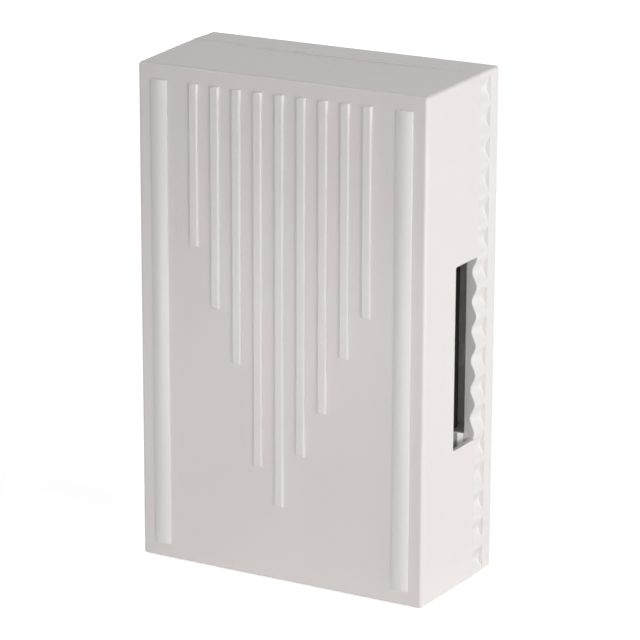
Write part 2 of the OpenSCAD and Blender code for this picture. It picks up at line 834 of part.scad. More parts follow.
// Insulated leads from the coil to the clamps: their bends are quarter arcs
lead_start_z = axis_z - tape_d / 2 - fit_gap;
lead_end_z = block_z + clamp_w / 2;
lead_end_y = clamp_y - lead_d / 2 - 0.05;
lead_low_y = -7.5;
lead_bend = 6;
lead_drop = 11.6;
lead_dip = 12;
lead_rise = 18;
lead_run = 9;
lead_knots = [
    [lead_x, axis_y, lead_start_z],
    [lead_x, axis_y, lead_start_z - lead_drop],
    [lead_x, lead_low_y, lead_start_z - lead_drop - lead_dip],
    [bay_x, lead_low_y, lead_end_z + lead_rise],
    [bay_x, lead_end_y, lead_end_z + lead_run],
    [bay_x, lead_end_y, lead_end_z]
];
// A knot is rounded by a short curve between the middles of its two runs
function toward(a, b, d) = a + unit(b - a) * min(d, norm(b - a) / 2);
function curve(a, b, c, t) = (1 - t) * (1 - t) * a + 2 * t * (1 - t) * b + t * t * c;
lead_path = concat(
    [lead_knots[0]],
    [for (i = [1:len(lead_knots) - 2])
        for (t = [0:0.25:1])
            curve(
                toward(lead_knots[i], lead_knots[i - 1], lead_bend), lead_knots[i],
                toward(lead_knots[i], lead_knots[i + 1], lead_bend), t
            )],
    [lead_knots[len(lead_knots) - 1]]
);
module lead_wire() {
    tube(lead_path, [for (p = lead_path) [1, 0, 0]], lead_d / 2, 8);
}
module lead_wire_left() { color("firebrick") mirror([1, 0, 0]) lead_wire(); }
module lead_wire_right() { color("gainsboro") lead_wire(); }

// Rubber grommet where the bell wire comes through the floor
module cable_grommet() {
    color(black_rubber)
    difference() {
        union() {
            rod_y(-cable_back_gap, -cable_back_gap - cable_flange_t, 0, cable_z, cable_flange_d);
            rod_y(-cable_back_gap, -cable_floor - cable_flange_t, 0, cable_z, cable_hole_d);
            rod_y(-cable_floor, -cable_floor - cable_flange_t, 0, cable_z, cable_flange_d);
        }
        rod_y(1, -cable_floor - cable_flange_t - 1, 0, cable_z, cable_bore);
    }
}

base_tray();
front_cover();
tone_plate_left();
tone_plate_right();
plate_grommets_left();
plate_grommets_right();
hanger_pins_left();
hanger_pins_right();
solenoid_yoke();
yoke_screws();
coil_bobbin();
coil_winding();
coil_tape();
armature();
striker_rod_left();
striker_rod_right();
striker_tip_left();
striker_tip_right();
return_spring();
terminal_block();
block_screw();
terminal_clamps();
terminal_screws();
lead_wire_left();
lead_wire_right();
cable_grommet();
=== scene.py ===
"""Two-note wall chime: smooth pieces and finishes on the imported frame.

Pieces are modelled in millimetres and scaled to metres when they are finished.
X runs to the right, Y into the wall and Z up, as in the frame.
"""

import logging
import math
from dataclasses import dataclass, replace
from enum import Enum, IntEnum
from functools import cache
from typing import Callable, Iterable, Optional, Sequence

import bmesh
import bpy
from bmesh.types import BMEdge, BMesh, BMFace
from mathutils import Matrix, Vector


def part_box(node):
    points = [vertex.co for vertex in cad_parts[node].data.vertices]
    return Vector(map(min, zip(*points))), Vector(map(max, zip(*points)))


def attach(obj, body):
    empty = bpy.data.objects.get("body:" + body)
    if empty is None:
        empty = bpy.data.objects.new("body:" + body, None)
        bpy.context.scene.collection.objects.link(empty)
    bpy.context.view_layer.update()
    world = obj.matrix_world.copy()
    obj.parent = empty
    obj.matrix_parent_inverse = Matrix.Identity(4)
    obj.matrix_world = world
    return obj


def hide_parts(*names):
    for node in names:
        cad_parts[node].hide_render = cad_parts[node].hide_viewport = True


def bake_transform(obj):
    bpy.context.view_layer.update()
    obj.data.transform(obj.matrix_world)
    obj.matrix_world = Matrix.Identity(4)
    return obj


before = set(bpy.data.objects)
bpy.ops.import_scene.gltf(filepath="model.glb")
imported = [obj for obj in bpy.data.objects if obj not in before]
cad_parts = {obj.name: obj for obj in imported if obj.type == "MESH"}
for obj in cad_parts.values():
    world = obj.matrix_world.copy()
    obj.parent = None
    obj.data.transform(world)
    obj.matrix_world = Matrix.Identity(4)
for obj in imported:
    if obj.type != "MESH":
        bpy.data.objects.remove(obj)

LOG = logging.getLogger("chime")
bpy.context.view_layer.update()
MM = 0.001

# In millimetres: what counts as one point, what counts as on a face, and how far a tool cuts past one
WELD = 1e-4
NEAR = 0.1
OVERRUN = 1.0
# Share of a half width that rounds an end and still leaves an edge
FULL_ROUND = 0.999
# Share of an edge that has to run along an axis
STRAIGHT = 0.95
# Angle in radians under which two faces are level
LEVEL = 0.01
# Weight of large faces in the evened normals
FACE_WEIGHT = 100

Point = tuple[float, float, float]
Pair = tuple[float, float]
Colour = tuple[float, float, float]
Socket = bpy.types.NodeSocket


class Axis(IntEnum):
    """An axis of the frame."""

    X = 0
    Y = 1
    Z = 2


class Carve(Enum):
    """What a second solid does to the first."""

    CUT = "DIFFERENCE"
    JOIN = "UNION"


class Side(Enum):
    """Side of the case, seen from the front."""

    LEFT = -1
    RIGHT = 1


class End(Enum):
    """End of the case."""

    BOTTOM = -1
    TOP = 1


@dataclass(frozen=True)
class Seat:
    """Where a piece belongs.

    Attributes:
        body: Body that it moves with.
        slot: Name of a material slot, which is not used.
        nodes: Nodes that it stands for.
    """

    body: str
    slot: str
    nodes: tuple[str, ...]


def node_span(node: str) -> tuple[Vector, Vector]:
    """Corners of a node at rest.

    Args:
        node: Name of the node.

    Returns:
        Lowest and highest corner in millimetres.
    """
    low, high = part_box(node)
    return Vector(low) / MM, Vector(high) / MM


def held(value: float, limit: float) -> float:
    """Keep a value between a limit and its negative."""
    return max(-limit, min(limit, value))


# Mesh tools


def to_mesh(bm: BMesh, name: str) -> bpy.types.Mesh:
    """Write a solid to a new mesh.

    Args:
        bm: The solid, which is freed.
        name: Name of the mesh.

    Returns:
        The mesh.
    """
    mesh = bpy.data.meshes.new(name)
    bm.to_mesh(mesh)
    bm.free()
    return mesh


def linked(name: str, data: bpy.types.ID) -> bpy.types.Object:
    """Put data in the scene as a new object."""
    holder = bpy.data.objects.new(name, data)
    bpy.context.scene.collection.objects.link(holder)
    return holder


def evaluated(holder: bpy.types.Object) -> BMesh:
    """Take the shape that an object has after its modifiers or its bevel.

    Args:
        holder: An object in the scene.

    Returns:
        Its shape, with points that meet made one.
    """
    bpy.context.view_layer.update()
    mesh = bpy.data.meshes.new_from_object(holder.evaluated_get(bpy.context.evaluated_depsgraph_get()))
    bm = bmesh.new()
    bm.from_mesh(mesh)
    bpy.data.meshes.remove(mesh)
    bmesh.ops.remove_doubles(bm, verts=bm.verts, dist=WELD)
    return bm


def block(low: Point, high: Point) -> BMesh:
    """Make a box.

    Args:
        low: Lowest corner.
        high: Highest corner.

    Returns:
        The box.
    """
    bm = bmesh.new()
    bmesh.ops.create_cube(bm, size=1.0)
    a, b = Vector(low), Vector(high)
    bmesh.ops.scale(bm, vec=b - a, verts=bm.verts)
    bmesh.ops.translate(bm, vec=(a + b) / 2, verts=bm.verts)
    return bm


def round_over(bm: BMesh, edges: Sequence[BMEdge], radius: float, segments: int = 4) -> None:
    """Round edges of a solid.

    Args:
        bm: The solid.
        edges: Edges to round.
        radius: Radius of the rounding.
        segments: Steps across it.
    """
    bmesh.ops.bevel(
        bm, geom=list(edges), offset=radius, offset_type="OFFSET", segments=segments,
        profile=0.5, affect="EDGES", clamp_overlap=True, material=-1,
    )


def edges_along(
    bm: BMesh, axis: Axis, where: Callable[[Vector], bool] = lambda middle: True
) -> list[BMEdge]:
    """Find edges that run along one axis.

    Args:
        bm: The solid.
        axis: The axis.
        where: Test of an edge's middle.

    Returns:
        The edges that pass.
    """
    found = []
    for edge in bm.edges:
        run = edge.verts[1].co - edge.verts[0].co
        middle = (edge.verts[0].co + edge.verts[1].co) / 2
        if abs(run[axis]) > STRAIGHT * run.length and where(middle):
            found.append(edge)
    return found


def edges_in_plane(bm: BMesh, axis: Axis, value: float) -> list[BMEdge]:
    """Find edges that lie in a plane square to an axis."""
    return [e for e in bm.edges if all(abs(v.co[axis] - value) < WELD for v in e.verts)]


def sharp_edges(bm: BMesh, degrees: float = 50.0) -> list[BMEdge]:
    """Find edges that turn by more than an angle."""
    limit = math.radians(degrees)
    return [e for e in bm.edges if len(e.link_faces) == 2 and e.calc_face_angle() > limit]


def soften(bm: BMesh, radius: float, segments: int = 2) -> BMesh:
    """Round every sharp edge of a solid.

    Args:
        bm: The solid.
        radius: Radius of the rounding.
        segments: Steps across it.

    Returns:
        The same solid.
    """
    bm.normal_update()
    round_over(bm, sharp_edges(bm), radius, segments)
    return bm


def lathe(profile: Sequence[Pair], centre: Pair, turn: Axis, ring: bool = False, steps: int = 48) -> BMesh:
    """Spin an outline about an axis.

    Args:
        profile: Radius and place along the axis for each corner.
        centre: Y and Z of an X axis, or X and Z of a Y axis.
        turn: The axis, X or Y.
        ring: Whether the outline closes on itself, as round a bore.
        steps: Steps in a full turn.

    Returns:
        The turned solid.
    """
    bm = bmesh.new()
    axis = Vector((0, 0, 0))
    axis[turn] = 1
    origin = Vector((0, *centre)) if turn is Axis.X else Vector((centre[0], 0, centre[1]))
    up = Vector((0, 0, 1))
    corners = [bm.verts.new(origin + axis * place + up * radius) for radius, place in profile]
    ends = corners[1:] + corners[:1] if ring else corners[1:]
    outline = [bm.edges.new(pair) for pair in zip(corners, ends)]
    bmesh.ops.spin(
        bm, geom=corners + outline, cent=origin, axis=axis, angle=2 * math.pi,
        steps=steps, use_merge=True, use_duplicate=False,
    )
    bmesh.ops.remove_doubles(bm, verts=bm.verts, dist=WELD)
    bmesh.ops.dissolve_degenerate(bm, dist=WELD, edges=bm.edges)
    bmesh.ops.recalc_face_normals(bm, faces=bm.faces)
    return bm


def plug(radius: float, span: Pair, centre: Pair, turn: Axis, steps: int = 48) -> BMesh:
    """Make a plain round bar, as the tool for a hole.

    Args:
        radius: Its radius.
        span: Where it starts and ends along the axis.
        centre: Place of the axis, as for a lathe.
        turn: The axis.
        steps: Steps in a full turn.

    Returns:
        The bar.
    """
    start, end = span
    return lathe([(0, start), (radius, start), (radius, end), (0, end)], centre, turn, steps=steps)


def sleeve(radii: Pair, span: Pair, centre: Pair, turn: Axis, steps: int = 48) -> BMesh:
    """Make a plain round tube.

    Args:
        radii: Its inner and outer radius.
        span: Where it starts and ends along the axis.
        centre: Place of the axis, as for a lathe.
        turn: The axis.
        steps: Steps in a full turn.

    Returns:
        The tube.
    """
    (inner, outer), (start, end) = radii, span
    profile = [(inner, start), (outer, start), (outer, end), (inner, end)]
    return lathe(profile, centre, turn, ring=True, steps=steps)


def flanged_bush(radii: Point, flange: float, span: Pair, centre: Pair, turn: Axis) -> BMesh:
    """Make a bush with a flange at each end.

    Args:
        radii: Radius of its bore, its neck and its flanges.
        flange: Thickness of a flange.
        span: Where it starts and ends along the axis.
        centre: Place of the axis, as for a lathe.
        turn: The axis.

    Returns:
        The bush.
    """
    (bore, neck, rim), (start, end) = radii, span
    near, far = start + flange, end - flange
    profile = [
        (bore, start), (rim, start), (rim, near), (neck, near),
        (neck, far), (rim, far), (rim, end), (bore, end),
    ]
    return lathe(profile, centre, turn, ring=True)


def dome(radius: float, start: float, end: float, steps: int, bulge: float = 1.0) -> list[Pair]:
    """Draw the outline of a domed end.

    Args:
        radius: Radius at its foot.
        start: Place of its foot along the axis.
        end: Place of its top.
        steps: Steps from foot to top.
        bulge: Under 1 for a fuller dome.

    Returns:
        The corners after the foot, up to the axis.
    """
    corners = []
    for step in range(1, steps):
        angle = step / steps * math.pi / 2
        corners.append((radius * math.cos(angle) ** bulge, start + (end - start) * math.sin(angle)))
    return corners + [(0.0, end)]


def gather(parts: Iterable[BMesh]) -> BMesh:
    """Put several solids in one mesh.

    Args:
        parts: The solids, which are freed.

    Returns:
        The mesh that holds them all.
    """
    whole = bmesh.new()
    for part in parts:
        carrier = to_mesh(part, "carrier")
        whole.from_mesh(carrier)
        bpy.data.meshes.remove(carrier)
    return whole


def mirrored(bm: BMesh, axis: Axis = Axis.X) -> BMesh:
    """Turn a solid over to the other side of the case, or to its other end."""
    flip = Vector((1, 1, 1))
    flip[axis] = -1
    bmesh.ops.scale(bm, vec=flip, verts=bm.verts)
    bmesh.ops.reverse_faces(bm, faces=bm.faces)
    return bm


def on_side(bm: BMesh, side: Side) -> BMesh:
    """Keep a solid that was made for the right, or turn it over for the left."""
    return bm if side is Side.RIGHT else mirrored(bm)


def carve(body: BMesh, tool: BMesh, how: Carve = Carve.CUT) -> BMesh:
    """Cut one solid with another, or join them.

    Args:
        body: The solid that is kept, which is freed.
        tool: The other solid, which is freed.
        how: Whether the tool cuts or joins.

    Returns:
        The new solid.
    """
    holders = []
    for label, part in (("carve_body", body), ("carve_tool", tool)):
        bmesh.ops.recalc_face_normals(part, faces=part.faces)
        holders.append(linked(label, to_mesh(part, label)))
    step = holders[0].modifiers.new("carve", "BOOLEAN")
    step.operation = how.value
    step.solver = "EXACT"
    step.object = holders[1]
    result = evaluated(holders[0])
    for holder in holders:
        mesh = holder.data
        bpy.data.objects.remove(holder)
        bpy.data.meshes.remove(mesh)
    bmesh.ops.dissolve_degenerate(result, dist=WELD, edges=result.edges)
    return result


def joined(first: BMesh, second: BMesh) -> BMesh:
    """Join two solids and take out the lines between level faces."""
    whole = carve(first, second, Carve.JOIN)
    bmesh.ops.dissolve_limit(whole, angle_limit=LEVEL, verts=whole.verts[:], edges=whole.edges[:])
    return whole


def tube_along(points: Sequence[Vector], radius: float, sides: int) -> BMesh:
    """Sweep a round wire along points.

    Args:
        points: The middle of the wire.
        radius: Radius of the wire.
        sides: Quarter steps round it.

    Returns:
        The wire with closed ends.
    """
    curve = bpy.data.curves.new("wire", "CURVE")
    curve.dimensions = "3D"
    spline = curve.splines.new("POLY")
    spline.points.add(len(points) - 1)
    for knot, place in zip(spline.points, points):
        knot.co = (*place, 1.0)
    curve.bevel_depth = radius
    curve.bevel_resolution = sides
    curve.use_fill_caps = True
    holder = linked("wire", curve)
    bm = evaluated(holder)
    bpy.data.objects.remove(holder)
    bpy.data.curves.remove(curve)
    return bm


def finish_piece(
    bm: BMesh, name: str, seat: Seat, material: bpy.types.Material,
    smooth_deg: float = 38.0, ride: bool = True,
) -> bpy.types.Object:
    """Turn a solid into a finished piece.

    Args:
        bm: The solid in millimetres, which is freed.
        name: Name of the piece.
        seat: Where it belongs.
        material: Its finish.
        smooth_deg: Edges that turn by more than this stay sharp.
        ride: Whether it rides on its body at once.

    Returns:
        The piece.
    """
    bmesh.ops.recalc_face_normals(bm, faces=bm.faces)
    bmesh.ops.scale(bm, vec=(MM, MM, MM), verts=bm.verts)
    mesh = to_mesh(bm, name)
    mesh.shade_smooth()
    mesh.set_sharp_from_angle(angle=math.radians(smooth_deg))
    mesh.materials.append(material)
    piece = linked(name, mesh)
    even = piece.modifiers.new("even_normals", "WEIGHTED_NORMAL")
    even.weight = FACE_WEIGHT
    even.keep_sharp = True
    if ride:
        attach(piece, seat.body)
    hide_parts(*seat.nodes)
    LOG.info("%s: %d faces on %s", name, len(mesh.polygons), seat.body)
    return piece


def fix_to_base(rows: Iterable[tuple[BMesh, str, str, str, bpy.types.Material]]) -> None:
    """Finish pieces that ride on the base.

    Args:
        rows: Solid, name, slot, node and finish of each piece.
    """
    for solid, name, slot, node, finish in rows:
        finish_piece(solid, name, Seat("base", slot, (node,)), finish)


# Material tools


class Graph:
    """Short names for the nodes of one node tree."""

    def __init__(self, tree: bpy.types.NodeTree) -> None:
        """Hold a tree and empty it."""
        self.tree = tree
        tree.nodes.clear()

    def add(self, kind: str, settings: Optional[dict] = None, **inputs: object) -> bpy.types.Node:
        """Place a node.

        Args:
            kind: Blender's name of the node type.
            settings: Properties to set on it.
            **inputs: Sockets by name, with underscores for spaces: a value or another socket.

        Returns:
            The node.
        """
        node = self.tree.nodes.new(kind)
        for key, value in (settings or {}).items():
            setattr(node, key, value)
        for key, value in inputs.items():
            self.feed(node.inputs[key.replace("_", " ")], value)
        return node

    def feed(self, socket: Socket, value: object) -> None:
        """Link a socket to another, or set its value."""
        if isinstance(value, Socket):
            self.tree.links.new(value, socket)
        else:
            socket.default_value = value

    def math(self, operation: str, *values: object) -> Socket:
        """Place a Math node on the values.

        Args:
            operation: Name of the operation.
            *values: Up to three numbers or sockets.

        Returns:
            Its result.
        """
        node = self.add("ShaderNodeMath", {"operation": operation})
        for socket, value in zip(node.inputs, values):
            self.feed(socket, value)
        return node.outputs[0]

    def scale(
        self, value: object, low: float, high: float, to_low: float = 0.0, to_high: float = 1.0
    ) -> Socket:
        """Map a range to another, clamped.

        Args:
            value: Number or socket.
            low: Start of the first range.
            high: End of the first range.
            to_low: Start of the second range.
            to_high: End of the second range.

        Returns:
            The mapped value.
        """
        node = self.add("ShaderNodeMapRange")
        for socket, item in zip(node.inputs, (value, low, high, to_low, to_high)):
            self.feed(socket, item)
        return node.outputs[0]

    def blend(self, share: object, first: object, second: object) -> Socket:
        """Mix two colours.

        Args:
            share: Share of the second.
            first: Colour or socket.
            second: Colour or socket.

        Returns:
            The mixed colour.
        """
        node = self.add("ShaderNodeMix", {"data_type": "RGBA"})
        colours = [(*c, 1.0) if isinstance(c, tuple) else c for c in (first, second)]
        for number, value in zip((0, 6, 7), (share, *colours)):
            self.feed(node.inputs[number], value)
        return node.outputs[2]

    def place(self) -> Socket:
        """Give the object coordinates, in metres."""
        return self.add("ShaderNodeTexCoord").outputs["Object"]

    def stretch(self, vector: Socket, by: Point) -> Socket:
        """Scale a coordinate differently on each axis."""
        return self.add("ShaderNodeMapping", Vector=vector, Scale=by).outputs[0]

    def noise(self, vector: Socket, cells: object, detail: float = 2.0, rough: float = 0.5) -> Socket:
        """Place a noise.

        Args:
            vector: Coordinate.
            cells: Cells in a metre.
            detail: Octaves.
            rough: Weight of the finer ones.

        Returns:
            Its value.
        """
        node = self.add("ShaderNodeTexNoise", Vector=vector, Scale=cells, Detail=detail, Roughness=rough)
        return node.outputs[0]


class Effects:
    """Shared effects as shader node groups, built once.

    Attributes:
        BROAD: Cells of the broad grain for each cell of the fine one.
        FLECK: Cells of the flecks for each cell of the fine grain.
        STREAK: Cells of the rub streaks for each cell of the patches.
        STREAK_STRETCH: Stretch of the rub streaks on each axis.
        SPECK: Cells of the dust for each cell of the patches.
    """

    BROAD = 0.11
    FLECK = 0.35
    STREAK = 14.0
    STREAK_STRETCH = (1.0, 1.0, 0.07)
    SPECK = 60.0

    @staticmethod
    def start(name: str, inputs: Sequence[str], outputs: Sequence[str]) -> tuple[Graph, dict, dict]:
        """Open a new group, which always takes a Vector.

        Args:
            name: Name of the group.
            inputs: Names of the numbers that go in.
            outputs: Names of the numbers that come out.

        Returns:
            Its graph, the sockets to read and the sockets to feed.
        """
        tree = bpy.data.node_groups.new(name, "ShaderNodeTree")
        tree.interface.new_socket(name="Vector", in_out="INPUT", socket_type="NodeSocketVector")
        for way, labels in (("INPUT", inputs), ("OUTPUT", outputs)):
            for label in labels:
                tree.interface.new_socket(name=label, in_out=way, socket_type="NodeSocketFloat")
        graph = Graph(tree)
        source = graph.add("NodeGroupInput")
        sink = graph.add("NodeGroupOutput")
        return graph, {s.name: s for s in source.outputs}, {s.name: s for s in sink.inputs}

    @staticmethod
    @cache
    def grain() -> bpy.types.NodeTree:
        """Give the fine grain of a moulded or rolled surface.

        Returns:
            Group with Vector and Scale in, Height and Fleck out.
        """
        graph, read, feed = Effects.start("surface_grain", ("Scale",), ("Height", "Fleck"))
        place, cells = read["Vector"], read["Scale"]
        fine = graph.noise(place, cells, 3.0, 0.6)
        broad = graph.noise(place, graph.math("MULTIPLY", cells, Effects.BROAD))
        flecks = graph.noise(place, graph.math("MULTIPLY", cells, Effects.FLECK), 4.0, 0.7)
        graph.feed(feed["Height"], graph.math("MULTIPLY_ADD", broad, 0.5, fine))
        graph.feed(feed["Fleck"], graph.scale(flecks, 0.45, 0.75))
        return graph.tree

    @staticmethod
    @cache
    def handling() -> bpy.types.NodeTree:
        """Give rub marks and settled dust.

        Returns:
            Group with Vector and Scale in, Rub and Dust out.
        """
        graph, read, feed = Effects.start("handling_marks", ("Scale",), ("Rub", "Dust"))
        place, cells = read["Vector"], read["Scale"]
        drawn_out = graph.stretch(place, Effects.STREAK_STRETCH)
        streaks = graph.noise(drawn_out, graph.math("MULTIPLY", cells, Effects.STREAK), 3.0, 0.6)
        patches = graph.noise(place, cells, 3.0, 0.55)
        specks = graph.noise(place, graph.math("MULTIPLY", cells, Effects.SPECK), 1.0)
        lines, where = graph.scale(streaks, 0.62, 0.74), graph.scale(patches, 0.5, 0.68)
        graph.feed(feed["Rub"], graph.math("MULTIPLY", lines, where))
        graph.feed(feed["Dust"], graph.scale(specks, 0.66, 0.74))
        return graph.tree


@dataclass(frozen=True)
class Finish:
    """What every finish has.

    Attributes:
        name: Name of the material.
        colour: Base colour, linear.
        rough: Middle roughness.
        swing: How far the roughness goes below and above the middle.
        bump_strength: Strength of the bump.
        bump_height: Height of the bump in metres at a value of 1.
    """

    name: str
    colour: Colour
    rough: float
    swing: Pair = (-0.08, 0.12)
    bump_strength: float = 0.2
    bump_height: float = 0.00002

    def build(self) -> bpy.types.Material:
        """Make the material.

        Returns:
            The material with its nodes linked.
        """
        material = bpy.data.materials.new(self.name)
        material.use_nodes = True
        graph = Graph(material.node_tree)
        shader = graph.add("ShaderNodeBsdfPrincipled")
        out = graph.add("ShaderNodeOutputMaterial")
        graph.feed(out.inputs["Surface"], shader.outputs[0])
        self.dress(graph, shader)
        return material

    def dress(self, graph: Graph, shader: bpy.types.Node) -> None:
        """Link the colour, roughness and bump of this finish."""
        raise NotImplementedError

    def use(self, graph: Graph, group: bpy.types.NodeTree, place: Socket, cells: float) -> bpy.types.Node:
        """Place a shared effect.

        Args:
            graph: Graph of the material.
            group: The effect.
            place: Coordinate.
            cells: Cells in a metre.

        Returns:
            The group node.
        """
        node = graph.add("ShaderNodeGroup", {"node_tree": group})
        graph.feed(node.inputs["Vector"], place)
        graph.feed(node.inputs["Scale"], cells)
        return node

    def gloss(self, graph: Graph, pattern: Socket, low: float = 0.0, high: float = 1.0) -> Socket:
        """Map a pattern to the roughness.

        Args:
            graph: Graph of the material.
            pattern: The pattern.
            low: Value that gives the least roughness.
            high: Value that gives the most.

        Returns:
            The roughness.
        """
        return graph.scale(pattern, low, high, self.rough + self.swing[0], self.rough + self.swing[1])

    def lay(
        self, graph: Graph, shader: bpy.types.Node, colour: Socket, rough: Socket, height: Socket
    ) -> None:
        """Feed the shader.

        Args:
            graph: Graph of the material.
            shader: Its shader.
            colour: The colour.
            rough: The roughness.
            height: The height that is seen as a bump.
        """
        graph.feed(shader.inputs["Base Color"], colour)
        graph.feed(shader.inputs["Roughness"], rough)
        bump = graph.add(
            "ShaderNodeBump", Height=height, Strength=self.bump_strength, Distance=self.bump_height
        )
        graph.feed(shader.inputs["Normal"], bump.outputs[0])


@dataclass(frozen=True)
class MouldedPlastic(Finish):
    """Satin moulded plastic with a fine spark grain.

    Attributes:
        warm: Colour of the slightly yellowed areas.
        shade: Colour of the flow lines.
        dust: Colour of the dust.
        ior: Index of refraction.
    """

    swing: Pair = (-0.008, 0.014)
    bump_height: float = 0.000003
    warm: Colour = (0.80, 0.745, 0.70)
    shade: Colour = (0.70, 0.68, 0.67)
    dust: Colour = (0.42, 0.39, 0.36)
    grain_cells: float = 5200.0
    mark_cells: float = 34.0
    tone_cells: float = 17.0
    flow_cells: float = 60.0
    flow_stretch: Point = (1.0, 1.0, 0.25)
    ior: float = 1.50

    def dress(self, graph: Graph, shader: bpy.types.Node) -> None:
        """Mottle the colour slightly, vary the gloss and raise the grain."""
        place = graph.place()
        grain = self.use(graph, Effects.grain(), place, self.grain_cells).outputs
        marks = self.use(graph, Effects.handling(), place, self.mark_cells).outputs
        tone = graph.noise(place, self.tone_cells, 3.0)
        flow = graph.noise(graph.stretch(place, self.flow_stretch), self.flow_cells)
        aged = graph.blend(graph.scale(tone, 0.35, 0.75, 0.0, 0.22), self.colour, self.warm)
        shaded = graph.blend(graph.scale(flow, 0.4, 0.7, 0.0, 0.05), aged, self.shade)
        dusty = graph.blend(graph.math("MULTIPLY", marks["Dust"], 0.03), shaded, self.dust)
        rubbed = graph.math("MULTIPLY_ADD", marks["Rub"], -0.05, self.gloss(graph, grain["Fleck"]))
        shader.inputs["IOR"].default_value = self.ior
        self.lay(graph, shader, dusty, rubbed, grain["Height"])


@dataclass(frozen=True)
class RolledSteel(Finish):
    """Dark oiled steel with rolling lines along its length.

    Attributes:
        light: Colour of the lines that the rolls rubbed bright.
        rust: Colour of the rust specks.
        metal: Share of bare metal, and what the rust leaves of it.
    """

    swing: Pair = (-0.1, 0.12)
    bump_strength: float = 0.25
    bump_height: float = 0.00003
    light: Colour = (0.17, 0.145, 0.13)
    rust: Colour = (0.085, 0.038, 0.020)
    metal: Pair = (0.55, 0.1)
    line_cells: float = 1500.0
    line_stretch: Point = (1.0, 1.0, 0.012)
    band_cells: float = 240.0
    band_stretch: Point = (1.0, 1.0, 0.03)
    oil_cells: float = 95.0
    rust_cells: float = 620.0

    def dress(self, graph: Graph, shader: bpy.types.Node) -> None:
        """Draw rolling lines, oil blooms and small rust specks."""
        place = graph.place()
        lines = graph.noise(graph.stretch(place, self.line_stretch), self.line_cells, 4.0, 0.6)
        bands = graph.noise(graph.stretch(place, self.band_stretch), self.band_cells)
        oil = graph.noise(place, self.oil_cells, 4.0, 0.6)
        rust = graph.scale(graph.noise(place, self.rust_cells, 3.0, 0.65), 0.66, 0.74, 0.0, 0.6)
        streaked = graph.blend(graph.scale(lines, 0.4, 0.7, 0.0, 0.8), self.colour, self.light)
        banded = graph.blend(graph.scale(bands, 0.45, 0.65, 0.0, 0.5), streaked, self.colour)
        rusted = graph.blend(rust, banded, self.rust)
        graph.feed(shader.inputs["Metallic"], graph.scale(rust, 0.0, 0.6, *self.metal))
        dulled = graph.math("MULTIPLY_ADD", rust, 0.3, self.gloss(graph, oil, 0.35, 0.7))
        self.lay(graph, shader, rusted, dulled, lines)


@dataclass(frozen=True)
class PlatedSteel(Finish):
    """Zinc plated or turned steel.

    Attributes:
        tint: Colour of the passivated patches.
        spot: Colour of the dull spots.
        streak: Stretch of the tool marks on each axis.
    """

    tint: Colour = (0.60, 0.60, 0.52)
    spot: Colour = (0.36, 0.36, 0.34)
    streak: Point = (1.0, 1.0, 1.0)
    cloud_cells: float = 160.0
    mark_cells: float = 1900.0
    spot_cells: float = 900.0

    def dress(self, graph: Graph, shader: bpy.types.Node) -> None:
        """Cloud the plating, streak its gloss and dull small spots."""
        place = graph.place()
        cloud = graph.noise(place, self.cloud_cells, 4.0, 0.6)
        marks = graph.noise(graph.stretch(place, self.streak), self.mark_cells, 3.0, 0.6)
        spots = graph.scale(graph.noise(place, self.spot_cells), 0.64, 0.76, 0.0, 0.7)
        tinted = graph.blend(graph.scale(cloud, 0.4, 0.7, 0.0, 0.7), self.colour, self.tint)
        shader.inputs["Metallic"].default_value = 1.0
        dulled = graph.math("MULTIPLY_ADD", spots, 0.2, self.gloss(graph, marks, 0.3, 0.75))
        self.lay(graph, shader, graph.blend(spots, tinted, self.spot), dulled, marks)


@dataclass(frozen=True)
class SoftRubber(Finish):
    """Matte rubber with bloom and a dusty face.

    Attributes:
        bloom: Colour of the greyed patches.
        dust: Colour of the dust.
    """

    swing: Pair = (0.0, 0.15)
    bump_strength: float = 0.4
    bump_height: float = 0.00003
    bloom: Colour = (0.075, 0.073, 0.070)
    dust: Colour = (0.30, 0.28, 0.25)
    grain_cells: float = 3200.0
    mark_cells: float = 120.0
    patch_cells: float = 330.0
    most_bloom: float = 0.8

    def dress(self, graph: Graph, shader: bpy.types.Node) -> None:
        """Grey the rubber in patches and pit its surface."""
        place = graph.place()
        grain = self.use(graph, Effects.grain(), place, self.grain_cells).outputs
        marks = self.use(graph, Effects.handling(), place, self.mark_cells).outputs
        patches = graph.noise(place, self.patch_cells, 3.0, 0.6)
        bloomed = graph.scale(patches, 0.4, 0.7, 0.0, self.most_bloom)
        greyed = graph.blend(bloomed, self.colour, self.bloom)
        dusty = graph.blend(graph.math("MULTIPLY", marks["Dust"], 0.5), greyed, self.dust)
        self.lay(graph, shader, dusty, self.gloss(graph, bloomed, 0.0, self.most_bloom), grain["Height"])


@dataclass(frozen=True)
class NaturalNylon(Finish):
    """Milky unfilled nylon.

    Attributes:
        cloud: Colour of the clouded areas.
        depth: Reach of light under the skin in metres, for red, green and blue.
        depth_share: Share of the light that goes under the skin.
    """

    swing: Pair = (-0.04, 0.08)
    bump_strength: float = 0.25
    bump_height: float = 0.00001
    cloud: Colour = (0.62, 0.54, 0.38)
    depth: Point = (0.003, 0.0025, 0.0015)
    depth_share: float = 0.15
    grain_cells: float = 1800.0
    cloud_cells: float = 140.0

    def dress(self, graph: Graph, shader: bpy.types.Node) -> None:
        """Cloud the colour and vary the gloss."""
        place = graph.place()
        grain = self.use(graph, Effects.grain(), place, self.grain_cells).outputs
        cloud = graph.scale(graph.noise(place, self.cloud_cells, 3.0), 0.35, 0.7, 0.0, 0.5)
        shader.inputs["Subsurface Weight"].default_value = self.depth_share
        shader.inputs["Subsurface Radius"].default_value = self.depth
        clouded = graph.blend(cloud, self.colour, self.cloud)
        self.lay(graph, shader, clouded, self.gloss(graph, grain["Fleck"]), grain["Height"])


